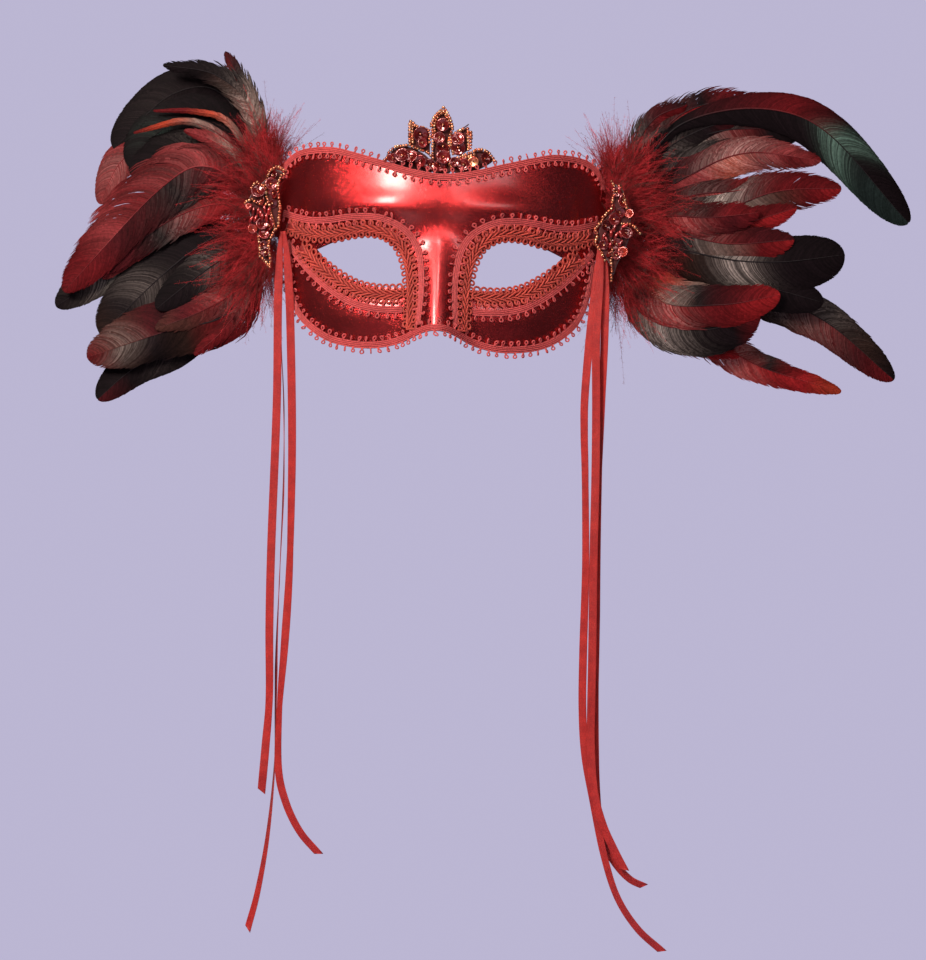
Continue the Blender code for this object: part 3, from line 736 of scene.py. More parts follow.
def sequin(form, centre, radius, tilt, tone, warm=False):
    """Cupped and faceted sequin with a small hole, tilted about X and Z."""
    turn = np.linspace(0.0, math.tau, 12, endpoint=False)
    share, lift = np.array(SEQUIN_SECTION).T[..., None]
    flat = np.broadcast_arrays(share * np.cos(turn), -lift, share * np.sin(turn))
    rings = radius * np.stack(flat, axis=-1)
    (cos_x, cos_z), (sin_x, sin_z) = np.cos(tilt), np.sin(tilt)
    lean_x = np.array([[1, 0, 0], [0, cos_x, -sin_x], [0, sin_x, cos_x]])
    lean_z = np.array([[cos_z, -sin_z, 0], [sin_z, cos_z, 0], [0, 0, 1]])
    rings = rings @ (lean_x @ lean_z).T + np.asarray(centre, float)
    tint = (2.6 * tone, 5.0 * tone, 3.0 * tone) if warm else (tone, tone, tone)
    form.sweep(rings, closed=True, tint=tint)


def oval(form, centre, length, width, angle, tone):
    """Long glass bead that faces the front."""
    share = np.linspace(0.0, math.pi, 8)
    turn = np.linspace(0.0, math.tau, 8, endpoint=False)
    along = np.array([math.cos(angle), 0.0, math.sin(angle)])
    across = np.array([-along[2], 0.0, along[0]])
    out = across * np.cos(turn)[:, None] + np.array([0.0, 1.0, 0.0]) * np.sin(turn)[:, None]
    radius = 0.04 + width / 2 * np.sin(share) ** 0.7
    rings = (np.asarray(centre, float) - along * (length / 2 * np.cos(share))[:, None, None]
             + out * radius[:, None, None])
    form.sweep(rings, tint=(tone, tone, tone))


# Size of each ring of a piece of felt and its place in the thickness, from the front to the back.
FELT_SECTION = [(0.02, 0.0), (0.5, 0.0), (0.9, 0.08), (0.97, 0.5), (0.9, 0.92), (0.5, 1.0), (0.02, 1.0)]


def felt_leaf(form, outline, depth, thickness):
    """Felt cut to a closed outline, with rounded edges."""
    outline = smooth_line(outline + outline[:1], 1.4)[:-1]
    middle = outline.mean(axis=0)
    rings = []
    for share, lift in FELT_SECTION:
        x, z = (middle + (outline - middle) * share).T
        rings.append(np.stack([x, np.full(len(x), depth + thickness * lift), z], axis=-1))
    form.sweep(rings)


CROWN_LEAVES = [
    [(-0.4, 76.8), (-4.1, 73.4), (-6.1, 70.3), (-6.7, 67), (-5.9, 62), (-5.7, 56), (-5.5, 50), (-5.6, 42),
     (4.5, 42), (3.4, 52), (2.9, 57), (3.2, 61.5), (4.4, 66.1), (4.1, 69), (2.5, 72.7)],
    [(-17.8, 68.6), (-15.1, 67.1), (-12.2, 66.1), (-8.8, 65), (-7.4, 62.2), (-7, 57), (-7.2, 51.5),
     (-10.1, 53.2), (-13, 54), (-15.9, 55.2), (-17.8, 56.8), (-18.2, 62.4)],
    [(13, 68), (10.2, 66.1), (5.8, 63.2), (4.2, 59.9), (4.5, 55.7), (5.9, 52.3), (10, 52.6), (13.5, 54.8),
     (13.7, 59), (13.4, 63.3)],
    [(-30.6, 48), (-29.2, 50.6), (-28.4, 52.8), (-26.2, 54.6), (-23.8, 55.4), (-20.9, 56), (-18.2, 55.8),
     (-13, 53.8), (-8, 50.6), (-4, 45), (-8, 41), (-20, 43)],
    [(3, 44), (6.3, 48.5), (7.9, 50.3), (10.3, 51.2), (12.8, 52.5), (15.6, 53.4), (17.7, 54.6), (20.6, 55),
     (23.5, 54.2), (25.8, 52.4), (27.6, 49.6), (20, 44.6), (10, 41.6)]]
CROWN_STRINGS = [
    [(-0.4, 77.3), (-4.1, 73.7), (-6.1, 70.3), (-6.9, 67.6), (-5.9, 63), (-5.7, 57), (-5.5, 51),
     (-4.7, 45)],
    [(-0.4, 75.4), (-3, 72.6), (-4.6, 69.6), (-5.2, 66.4), (-4.4, 62.8)],
    [(-0.4, 77.3), (2.5, 72.7), (4.1, 69), (4.6, 66), (3.7, 63), (2.8, 59), (3.2, 54), (3.8, 47)],
    [(0.8, 73.4), (2.2, 70.4), (2.9, 67.2)],
    [(-18.1, 69.2), (-18.6, 66.5), (-18.5, 62.4), (-18.2, 59.5), (-18, 56.8)],
    [(-16.8, 66.9), (-17, 63), (-16.7, 58)],
    [(-18.1, 69.2), (-15.1, 67.1), (-12.2, 66.3), (-8.8, 65.2), (-7.5, 62.4), (-7.6, 58.4)],
    [(-18, 56.6), (-15.9, 55.4), (-13, 54.3), (-10.1, 53.6), (-7.5, 52), (-5.4, 50)],
    [(-31.5, 48), (-29.4, 50.6), (-28.7, 52.9), (-26.3, 54.9), (-23.8, 55.6), (-20.9, 56.3), (-18.4, 56.4)],
    [(13, 66.6), (13.1, 63.3), (13.4, 59.1), (13.7, 56.9), (13.4, 54.8)],
    [(14.6, 64.6), (14.8, 60), (14.9, 56)],
    [(10.4, 66.4), (5.6, 63.2), (4.3, 59.9), (4.6, 55.7), (5.7, 52.5)],
    [(4.6, 45.4), (6.3, 48.7), (7.9, 50.5), (10.3, 51.4), (12.8, 52.7), (15.6, 53.6), (17.7, 54.9),
     (20.6, 55.3), (23.5, 54.5), (26, 52.7), (28, 49.6)],
    [(5.8, 46.2), (9, 49.3), (13, 50.9), (17, 52.4)]]
CROWN_SEQUINS = [
    (-0.6, 68, 2.9), (-2.2, 60.9, 2.6), (-0.2, 56.4, 2.8), (0.2, 50.6, 3.1), (-12.5, 62.6, 3.4),
    (-11.3, 57.9, 2.2), (7.9, 60.4, 3), (8.3, 55.9, 3.2), (-22, 50.7, 3.1), (-17, 50, 2.9),
    (-11.9, 48.1, 2.7), (11.3, 46.8, 2.9), (-1.5, 46, 2.7), (-6.9, 46.2, 2.6), (22.8, 50.4, 2.5),
    (-27, 49.2, 2.2), (6.4, 48, 2.2)]
CROWN_LIGHT_STONE = (16.6, 48.7, 3.0)
CROWN_NODES = [f"crown_stone_{number}" for number in range(1, 7)]


def make_crown(beads, stones, felt):
    back = Form()
    for number, leaf in enumerate(CROWN_LEAVES):
        felt_leaf(back, leaf, CROWN_FRONT + 0.25 + 0.12 * number, 0.6)
    back.tube([(13.4, CROWN_FRONT, 68.9), (9, CROWN_FRONT, 65.6), (5.4, CROWN_FRONT, 63)], 0.35, (0, 1, 0))
    back.finish("crown_felt", felt, nodes=("crown_backing",))
    strings = Form()
    for string in CROWN_STRINGS:
        bead_string(strings, [(x, CROWN_FRONT - 0.75, z) for x, z in string], 0.95, 1.6)
    for x, z, _ in CROWN_SEQUINS:
        bead(strings, (x, CROWN_FRONT - 2.5, z), (0.1, 1.0, 0.1), 0.6, rng.uniform(0.5, 1.1))
    x, z, radius = CROWN_LIGHT_STONE
    sequin(strings, (x, CROWN_FRONT - 1.6, z), radius, (0.1, -0.2), 1.5)
    strings.finish("crown_seed_beads", beads, nodes=("crown_bead_edge",))
    for name, spots, nodes in (("crown_upper_sequins", CROWN_SEQUINS[:8], CROWN_NODES[:3]),
                               ("crown_lower_sequins", CROWN_SEQUINS[8:], CROWN_NODES[3:])):
        form = Form()
        for x, z, radius in spots:
            depth = CROWN_FRONT - 0.8 - rng.uniform(0.2, 1.2)
            sequin(form, (x, depth, z), 1.28 * radius, rng.normal(0, 0.28, 2), rng.uniform(0.75, 1.35))
        form.finish(name, stones, nodes=nodes)


TEMPLES = {
    "left": {
        "felt": [
            (-95.8, 38), (-92, 43), (-86.6, 41.4), (-88.8, 36), (-89.4, 27), (-88.4, 17), (-89.4, 11),
            (-93, 4), (-93.6, -4), (-92.8, -10), (-96, -7), (-98.4, 0), (-99.8, 6), (-103.4, 10),
            (-104.4, 16), (-106, 23), (-103.8, 30), (-100, 34)],
        "strings": [
            [(-85.5, 41.3), (-87.7, 39.1), (-89.3, 36.3), (-89.8, 33.4), (-89.7, 30), (-89.2, 27.1),
             (-88.2, 22.4), (-88.5, 18.8), (-88.8, 11.6), (-91.1, 8.6), (-93.4, 3.1), (-93.9, 0.2)],
            [(-95.8, 36.5), (-96.3, 32.7), (-96, 29.4), (-95.4, 26), (-93.8, 21.9), (-93.3, 19.2),
             (-92.1, 15.7), (-91.1, 11.1)],
            [(-95.8, 38.2), (-94.3, 41.6), (-91.8, 43.3), (-88.9, 43.4), (-85.9, 41.4)],
            [(-104, 31.6), (-102.4, 34.6), (-99.5, 34.3), (-97.3, 33.1)],
            [(-107.5, 23.5), (-105.8, 24.9), (-103.8, 25.6), (-101.6, 24.3), (-98.5, 23), (-96.2, 23.1)],
            [(-99.3, 5.4), (-98.3, 0.4), (-98, -5.4), (-95.5, -7.9), (-92.6, -10.9)],
            [(-92.6, -10.9), (-92.6, -6.5), (-93.2, -3.2), (-93.7, 0.1)]],
        "sequins": [
            (-93.3, 34.4, 3.0), (-100.4, 29.9, 3.5), (-92.2, 29.4, 2.6), (-92.4, 23.8, 2.4),
            (-97.6, 12.4, 3), (-93.6, 11.4, 2.6), (-96.4, 6.6, 2.6), (-96.2, 1.2, 2), (-95.3, -3, 2.2),
            (-98.6, 25, 2.4), (-92.6, 39, 2.7)],
        "ovals": [
            (-102.5, 19.2, 85), (-100, 19.2, 82), (-95.3, 15.8, 96), (-97.6, 16, 88), (-96.5, 20.3, 100),
            (-101.3, 15, 70), (-92.7, 14.2, 105), (-104.4, 21, 70), (-98.6, 17.8, 95), (-94.2, 19.4, 80),
            (-103.6, 14.6, 60)],
        "warm": [(-102.8, 9.5, 2.7), (-105.2, 21.6, 1.8)]},
    "right": {
        "felt": [
            (93.5, 42), (95.6, 34), (94.4, 27), (89, 21), (86.4, 15), (86.4, 8), (89.2, 2), (93.2, -4),
            (95, -10), (97, -4), (99.6, 2), (103, 10), (103.4, 18), (104, 25), (101, 32), (98.6, 39)],
        "strings": [
            [(92.4, 42.5), (93.9, 39.6), (94, 36.7), (93.5, 32.9), (93, 29.1), (92.5, 26.8), (89.8, 24.4),
             (88.3, 21.4), (86.3, 18), (84.3, 16.2)],
            [(84.3, 16.2), (85.4, 12.5), (84.7, 8.7), (86.8, 5), (88.9, 2.1), (89.9, -0.8)],
            [(98.8, 19.2), (101.7, 19.4), (105.1, 18.6), (106.9, 16.6), (109, 14.1)],
            [(92.9, 9.8), (93.8, 6.9), (94, 2.3), (93.7, -1.5), (94.1, -6.5), (94.2, -12)],
            [(96.8, 40), (98.8, 36.4), (100.2, 31.6), (101, 27.8)]],
        "sequins": [
            (99.2, 31, 2.6), (94.6, 21.6, 3), (90.1, 17.8, 2.6), (101.4, 14.3, 3.2), (96.3, 8.1, 2.8),
            (89.4, 7.4, 2.4), (97.6, 25.4, 2.6), (92.8, 3.2, 2.2), (96.6, 2, 2.2), (95.6, 36.6, 2.4)],
        "ovals": [
            (97.9, 33.7, 70), (89.4, 12.2, 70), (91, 9.8, 110), (93.2, 13.6, 90), (96.1, 12.9, 60),
            (98.4, 13.6, 105), (93, 7.3, 80), (96.9, 37.4, 95), (100.6, 18.2, 30), (95, 16.8, 75),
            (98.6, 8.6, 60)],
        "warm": [(102.8, 24.8, 2.6), (100, 3.8, 3)]}}


def make_temples(beads, stones, felt):
    for label, look in TEMPLES.items():
        back = Form()
        felt_leaf(back, look["felt"], TEMPLE_FRONT - 0.2, 0.7)
        back.finish(label + "_temple_felt", felt, nodes=(label + "_temple_backing",))
        strings = Form()
        for points in look["strings"]:
            depth = TEMPLE_FRONT - 1.2 - rng.uniform(0, 0.5)
            bead_string(strings, [(x, depth, z) for x, z in points], 0.9, 1.55, 0.16)
        for x, z, _ in look["sequins"]:
            bead(strings, (x, TEMPLE_FRONT - 2.3, z), (0.1, 1, 0), 0.55, rng.uniform(0.5, 1.2))
        strings.finish(label + "_temple_beads", beads, nodes=(label + "_temple_bead_edge",))
        form = Form()
        for x, z, radius in look["sequins"]:
            depth = TEMPLE_FRONT - 0.8 - rng.uniform(0, 0.9)
            sequin(form, (x, depth, z), 1.2 * radius, rng.normal(0, 0.35, 2), rng.uniform(0.5, 1.2))
        for x, z, angle in look["ovals"]:
            oval(form, (x, TEMPLE_FRONT - 2.0 - rng.uniform(0, 0.6), z), rng.uniform(4.0, 5.0), 1.9,
                 math.radians(angle), rng.uniform(0.9, 2.0))
        for x, z, radius in look["warm"]:
            sequin(form, (x, TEMPLE_FRONT - 1.6, z), radius, rng.normal(0, 0.2, 2), 0.8, True)
        names = [f"{label}_temple_sequin_{number}" for number in (1, 2)]
        form.finish(label + "_temple_sequins", stones, nodes=names)


# ---------------------------------------------------------------- feathers

# Barb colours by letter; g, a grey-green black, is partly the barbs' own colour and partly a painted green
# sheen.
TINTS = {
    "k": (0.007, 0.004, 0.005), "g": (0.011, 0.017, 0.016), "b": (0.020, 0.009, 0.007),
    "n": (0.060, 0.020, 0.016), "t": (0.120, 0.072, 0.060), "m": (0.048, 0.005, 0.007),
    "d": (0.100, 0.006, 0.008), "r": (0.230, 0.011, 0.013), "p": (0.180, 0.024, 0.026),
    "o": (0.300, 0.036, 0.016)}
# Colours of the sheen that is painted into the barbs as a painted reflection.
PAINTED_SHEEN_GREY = (0.165, 0.135, 0.122)
PAINTED_SHEEN_GREEN = (0.065, 0.115, 0.092)

# Name, height of the root, rest of the centre line (x on both sides counts outward), widest width, layer,
# colours from root to tip on the upper and the lower vane, raggedness, bluntness of the tip, share of the
# length at which the vane is full, and the sheen painted into the barbs' colour (place along the feather,
# length, strength and any own colour).
FEATHERS = {"left": [
    ("big_red", 24, [(128, 44), (155, 32), (208, -27)], 33, 0.0, "ddpddpdd", "ddmkmmdd",
     0.7, 1.3, 0.4, (0.4, 0.2, 0.12)),
    ("red_lobe", 30, [(140, 58), (176, 50), (191, 23)], 22, 8.4, "kkkmdpp", "kkkmdpp",
     0.3, 2.0, 0.4, (0.85, 0.1, 0.4)),
    ("dark_hackle", 36, [(107, 76), (127, 95), (157, 100)], 13, 2.0, "dntkkk", "rtnbkk",
     1.2, 1.0, 0.4, (0.4, 0.2, 0.8)),
    ("bottom_brown", 12, [(114, -34), (150, -47), (194, -63)], 34, 3.0, "rdmkkmnd", "rrddbkbd",
     0.6, 2.2, 0.4, (0.87, 0.07, 0.55)),
    ("middle_black", 18, [(122, 8), (149, -12), (187, -50)], 34, 4.0, "dkkkkkb", "dmkkkkb",
     0.25, 2.6, 0.4, (0.72, 0.1, 0.3)),
    ("green_tip", 22, [(140, 17), (178, -10), (213, -35)], 26, 5.0, "ddkkgkk", "dmkkgkk",
     0.3, 2.2, 0.4, (0.8, 0.09, 0.8)),
    ("brown_hackle", 38, [(107, 78), (116, 97), (123, 109)], 13, 6.0, "dntbkm", "rdtndm",
     1.4, 1.0, 0.4, (0.6, 0.2, 0.9)),
    ("bottom_black", 10, [(136, -48), (168, -68), (188, -86)], 25, 7.0, "rdmkkkk", "rdbkkkm",
     0.2, 2.6, 0.4, (0.7, 0.1, 0.1)),
    ("second_black", 32, [(128, 68), (154, 67), (175, 44)], 29, 8.0, "kkkkkkk", "dkkkkgk",
     0.3, 2.8, 0.35, (0.8, 0.1, 0.12, PAINTED_SHEEN_GREEN)),
    ("top_black", 34, [(122, 84), (152, 85), (184, 54)], 26, 9.0, "mkkkkkk", "kkkkkkk",
     0.12, 3.2, 0.35, (0.8, 0.14, 0.05))], "right": [
    ("red_tipped", 12, [(120, -20), (156, -22), (189, -15)], 25, 0.0, "rdotkmdr", "rrdrddrr",
     0.6, 2.2, 0.4, (0.42, 0.12, 0.8)),
    ("taupe", 10, [(122, -28), (148, -36), (178, -25)], 31, 1.0, "rdtkkkd", "rrtkkkd",
     0.4, 2.4, 0.4, (0.5, 0.13, 1.5)),
    ("olive_black", 18, [(148, 5), (185, 3), (225, 9)], 33, 2.0, "rdkkkkk", "rdbkkkk",
     0.12, 3.6, 0.4, (0.56, 0.09, 1.6)),
    ("red_streak", 20, [(145, 26), (184, 42), (222, 46)], 27, 3.0, "rdmkmddd", "rdmktndr",
     0.8, 1.5, 0.4, (0.48, 0.13, 1.7)),
    ("red_pink", 24, [(136, 49), (168, 63), (210, 61)], 21, 4.0, "rdkmddpd", "rdppopdp",
     0.9, 1.2, 0.4, (0.62, 0.15, 0.9)),
    ("big_green", 28, [(132, 78), (200, 84), (262, 29)], 28, 5.0, "mkkmdkkk", "kkkkkkgg",
     0.12, 3.4, 0.72, (0.75, 0.05, 1.3, PAINTED_SHEEN_GREEN)),
    ("black_green", 28, [(130, 62), (154, 75), (200, 78)], 28, 6.0, "kkkkkmm", "dgkkdkk",
     0.3, 2.0, 0.35, (0.5, 0.16, 1.1)),
    ("serrated", 34, [(118, 70), (140, 88), (178, 94)], 17, 7.0, "mkkmkdk", "drddrdd",
     1.4, 1.4, 0.35, (0.5, 0.1, 0.2)),
    ("long_brown", 16, [(168, -12), (214, -27), (257, -59)], 25, 8.0, "dmkkbkbk", "dmmkbdmd",
     0.35, 2.4, 0.4, (0.66, 0.14, 0.5)),
    ("red_pointed", 10, [(140, -30), (176, -53), (227, -67)], 20, 9.0, "rddorkro", "rrrorrro",
     0.7, 1.0, 0.4, (0.58, 0.1, 0.9))]}
SMALL_FEATHERS = {
    "left": [
        (20, [(134, 22), (168, -2), (187, -19)], 15, 3.4, "dmkmpp", "dmkdpp", 0.5, 1.8),
        (14, [(127, -6), (156, -29), (187, -55)], 24, 5.6, "dmkkkb", "dmkkkb", 0.3, 2.4),
        (14, [(119, -5), (136, -18), (156, -35)], 22, 2.4, "rmkkkk", "rdmkkk", 0.4, 1.6),
        (24, [(122, 36), (148, 28), (178, 0)], 20, 0.6, "rdmkmd", "rdkkmm", 1.0, 1.2),
        (32, [(118, 58), (142, 69), (172, 62)], 4, 1.6, "rddtod", "rrdtod", 1.0, 1.0),
        (34, [(118, 68), (138, 75), (162, 75)], 3.4, 5.2, "rdtodd", "rdtodd", 1.0, 1.0),
        (18, [(122, 24), (150, 14), (190, -16)], 22, 1.5, "rrdmkk", "rrdkmm", 0.9, 1.2),
        (10, [(112, -22), (132, -36), (156, -46)], 18, 2.2, "rrrdmn", "rrddnn", 1.0, 1.2),
        (10, [(107, -26), (119, -46), (134, -60)], 12, 2.6, "rrrddd", "rrrddd", 1.4, 1.0),
        (28, [(124, 48), (150, 54), (174, 40)], 22, 5.0, "kkkkkk", "rddmkk", 0.5, 1.8),
        (26, [(116, 50), (128, 59), (144, 64)], 9, 0.8, "dpttpp", "rddppd", 1.2, 1.0)],
    "right": [
        (18, [(142, 20), (168, 24), (197, 34)], 19, 2.6, "rrmkdd", "rdkdrr", 0.9, 1.4),
        (24, [(138, 38), (164, 42), (195, 51)], 16, 3.6, "rdmmrd", "rdprpp", 1.1, 1.2),
        (34, [(106, 62), (116, 80), (134, 89)], 13, 6.6, "mkkkmk", "ddkmdd", 1.5, 1.4),
        (30, [(120, 60), (140, 74), (162, 82)], 18, 5.6, "mdkkkk", "rdkkkm", 1.0, 1.6),
        (28, [(124, 44), (150, 58), (184, 66)], 24, 4.6, "rmkkkk", "rdktnk", 0.5, 2.0),
        (18, [(132, 16), (160, 12), (196, 16)], 24, 1.6, "rdmdmm", "rmktdr", 0.8, 1.6),
        (14, [(140, -6), (176, -10), (214, -18)], 26, 3.0, "rdmkkk", "rdbkkk", 0.3, 2.4),
        (12, [(124, -14), (148, -20), (176, -24)], 18, 0.6, "rrotnm", "rrdtmr", 0.9, 1.4),
        (22, [(122, 26), (148, 26), (176, 30)], 20, 0.6, "rrdmdd", "rrrdmd", 1.1, 1.2),
        (8, [(118, -24), (138, -40), (168, -50)], 16, 6.0, "rrrddr", "rrrrrr", 1.4, 1.0),
        (30, [(110, 58), (126, 72), (150, 82)], 13, 6.2, "dmdkdm", "rdrddr", 1.5, 1.2)]}


def wing_depth(x, layer):
    """Depth of a feather layer: the whole wing bends back with distance from its root."""
    beyond = np.maximum(0.0, np.abs(x) - WING_ROOT)
    return FEATHER_DEPTH + FEATHER_SPACING * layer + FEATHER_BEND * beyond ** 2


def vane_width(share, widest, blunt, full):
    """Half width of the vane along the feather."""
    opening = smoothstep((share - 0.06) / (full - 0.06))
    tip = np.sqrt(np.clip(1.0 - np.clip((share - 0.52) / 0.48, 0, 1) ** (1.4 * blunt), 0, 1))
    return widest / 2 * opening * tip


def blend_colours(share, letters):
    return read(share, np.linspace(0.0, 1.0, len(letters)), [TINTS[letter] for letter in letters])


def feather(form, side, root, points, widest, layer, upper, lower, ragged, blunt, full, gloss,
            spacing=0.45):
    """Quill and two vanes of separate barbs that lie over each other like shingles."""
    line = smooth_line(np.array([(FEATHER_ROOT, root)] + points) * (side, 1), 0.8)
    sheen_place, sheen_length, sheen_strength, *sheen_colour = gloss
    run = arc_lengths(line)
    length = run[-1]
    tangent = unit(np.gradient(line, axis=0))

    def spot(where, lateral):
        along = np.clip(where, 0.0, length)
        heading = read(along, run, tangent)
        centre = read(along, run, line) + heading * (where - along)[..., None]
        return centre + np.stack([-heading[..., 1], heading[..., 0]], axis=-1) * lateral[..., None]

    reach = np.linspace(0.0, 1.0, 7)
    for sign in (-1.0, 1.0):
        # Barbs leave the quill at even spacing and lean forward, less so at the tip.
        base = np.arange(0.04 * length, 0.997 * length, spacing)
        base = base + rng.normal(0, 0.1, len(base))
        share = base / length
        slope = 1.5 + 1.2 * share
        near = vane_width(share, widest, blunt, full)
        left_over = 0.97 * (length - base)
        forward = (near * slope + 2.0) * left_over / (near * slope + 2.0 + left_over)
        # Neighbouring barbs hold together in clumps that are a little longer or shorter.
        clump = np.cumsum(rng.random(len(base)) < 0.06 * (0.4 + ragged))
        shift = rng.normal(0, 1.0, clump.max() + 1)[clump] * (1.0 - share ** 4)
        forward = forward * (1.0 + 0.09 * ragged * shift)
        tip_share = np.clip((base + forward) / length, 0, 1.0)
        extent = vane_width(tip_share, widest, blunt, full) * (1.0 - 0.14 * (sign > 0))
        extent = extent * (1.0 + 0.08 * ragged * shift + rng.normal(0, 0.01 + 0.1 * ragged ** 2, len(base)))
        # Near the root the barbs are loose and downy.
        loose = np.clip((0.26 - share) / 0.15, 0, 1)
        extent = np.maximum(extent, loose * rng.uniform(3, 12, len(base)) * min(1.0, widest / 14))
        where = base[:, None] + forward[:, None] * reach ** 1.25
        lateral = sign * extent[:, None] * np.sin(reach * math.pi / 2) ** 0.9
        centre = spot(where, lateral)
        direction = unit(np.gradient(centre, axis=1))
        across = np.stack([-direction[..., 1], direction[..., 0]], axis=-1)
        half = spacing * np.array([1.1, 1.1, 1.1, 1.1, 1.05, 0.9, 0.3])[:, None]
        half = half * (1.0 - 0.55 * loose)[:, None, None] * (1.0 - 0.55 * ragged * reach[:, None] ** 2)
        beside = np.minimum(np.abs(lateral) / (widest / 2), 1.2)
        cup = 1.5 * beside ** 2
        wave = 0.5 * np.sin(where / length * 9.0 + layer) * beside
        wisp = loose[:, None] * rng.normal(-0.6, 2.0, len(base))[:, None] * reach ** 2
        strips = []
        for edge in (-1.0, 1.0):
            flat = centre + across * half * edge
            depth = wing_depth(flat[..., 0], layer) + cup + wave + wisp + BARB_TILT * edge * sign
            strips.append(np.stack([flat[..., 0], depth, flat[..., 1]], axis=-1))
        place_at = np.clip(where / length, 0, 1)
        tint = blend_colours(place_at, upper if sign == side else lower)
        # A patch of painted sheen lightens the barbs part way along the feather, less so towards the barb
        # tips.
        patch = np.exp(-((place_at - sheen_place - 0.1 * (reach - 0.5)) / sheen_length) ** 2)
        barb_sheen = rng.uniform(0.35, 1.25, len(base)) ** 1.5
        patch = patch * sheen_strength * barb_sheen[:, None] * (1.0 - 0.6 * reach ** 2)
        tint = tint + patch[..., None] * np.array(sheen_colour or PAINTED_SHEEN_GREY)
        tone = rng.uniform(0.7, 1.32, len(base)) * (1.0 + 0.22 * shift.clip(-1, 1) * (0.3 + ragged))
        tint = tint * tone[:, None, None] * (1.08 - 0.3 * reach)[:, None]
        form.strips(np.stack(strips, axis=2), np.repeat(tint, 2, axis=1).reshape(-1, 3))
    x, z = line[::2].T
    where = run[::2] / length
    quill = np.stack([x, wing_depth(x, layer) - 0.12, z], axis=-1)
    tint = blend_colours(where, upper) * 1.4 + 0.012
    form.tube(quill, 0.5 * (1 - where) ** 0.7 + 0.08, (0, 1, 0), tint=tint)


def make_feathers():
    material = feather_material()
    for label, side in SIDES:
        for name, *shape in FEATHERS[label]:
            form = Form()
            feather(form, side, *shape)
            form.finish(f"{label}_{name}_feather", material, nodes=(f"{label}_feather_{name}",))
        for number, shape in enumerate(SMALL_FEATHERS[label], 1):
            form = Form()
            # Small feathers carry a weak painted sheen halfway along.
            feather(form, side, *shape, 0.4, (0.5, 0.15, 0.35), 0.55)
            form.finish(f"{label}_small_feather_{number}", material)


# ---------------------------------------------------------------- down

def down_strand(form, root, heading, length, curl, tint):
    """One plume of down: a fine shaft with short side hairs."""
    share = np.linspace(0.0, 1.0, 7)
    bend = np.cross(heading, curl)
    line = root + heading * (length * share)[:, None] + curl * (length * 0.35 * share ** 2)[:, None]
    line = line + bend * (0.6 * np.sin(share * 5.0))[:, None]
    tangent = unit(np.gradient(line, axis=0))
    across = unit(np.cross(tangent, (0.0, 1.0, 0.0)))
    half = (0.10 * (1.0 - 0.75 * share))[:, None]
    form.strips(np.stack([line - across * half, line + across * half], axis=1)[None], tint)
    count = int(length / 0.5)
    where = np.sort(rng.uniform(0.05, 1.0, count))
    spots = read(where, share, line)
    out = unit(rng.normal(0, 1, (count, 3)) * (1.0, 0.6, 1.0) + read(where, share, tangent) * 0.9)
    hair = out * (rng.uniform(1.4, 4.4, count) * (1.0 - 0.55 * where))[:, None]
    width = unit(np.cross(out, (0.0, 1.0, 0.001))) * 0.042
    faces = np.arange(count * 3).reshape(count, 3)[:, [0, 1, 2, 2]]
    form.add(np.stack([spots - width, spots + width, spots + hair], axis=1), faces, tint * 1.15)


# Root x and z, spread of the roots, direction in degrees from the side, its spread, length, count.
DOWN_FANS = {
    "upper": [(93, 46, 5, 84, 26, 22, 380), (98, 42, 6, 52, 28, 27, 260), (102, 28, 7, 14, 34, 27, 240),
              (93, 32, 5, 60, 60, 10, 120)],
    "lower": [(102, 8, 7, -18, 34, 27, 220), (98, -4, 7, -52, 26, 32, 260), (93, -2, 5, -78, 22, 30, 210),
              (93, 4, 5, -60, 60, 12, 150)]}
DOWN_DEPTHS = (40.5, 49.0)
DOWN_RED = np.array((0.270, 0.015, 0.018))
DOWN_BROWN = np.array((0.085, 0.030, 0.026))


def make_down():
    material = down_material()
    for label, side in SIDES:
        for part, fans in DOWN_FANS.items():
            form = Form()
            for x, z, spread, angle, wander, length, count in fans:
                for _ in range(count):
                    depth = rng.uniform(*DOWN_DEPTHS)
                    root_x = side * (x + rng.normal(0, spread * 0.6))
                    root = np.array([root_x, depth, z + rng.normal(0, spread)])
                    turn = math.radians(angle + rng.normal(0, wander))
                    heading = unit(np.array([side * math.cos(turn), rng.normal(0.02, 0.1), math.sin(turn)]))
                    curl = unit(np.array([rng.normal(0, 1), rng.normal(0, 0.3), rng.normal(-0.1, 1)]))
                    tint = DOWN_RED * rng.uniform(0.45, 1.7)
                    if rng.random() < 0.14:
                        tint = DOWN_BROWN * rng.uniform(0.6, 1.4)
                    down_strand(form, root, heading, length * rng.uniform(0.5, 1.15), curl, tint)
            nodes = (f"{label}_marabou", f"{label}_feather_pad") if part == "upper" else ()
            form.finish(f"{label}_{part}_down", material, nodes=nodes)


# ---------------------------------------------------------------- ribbons

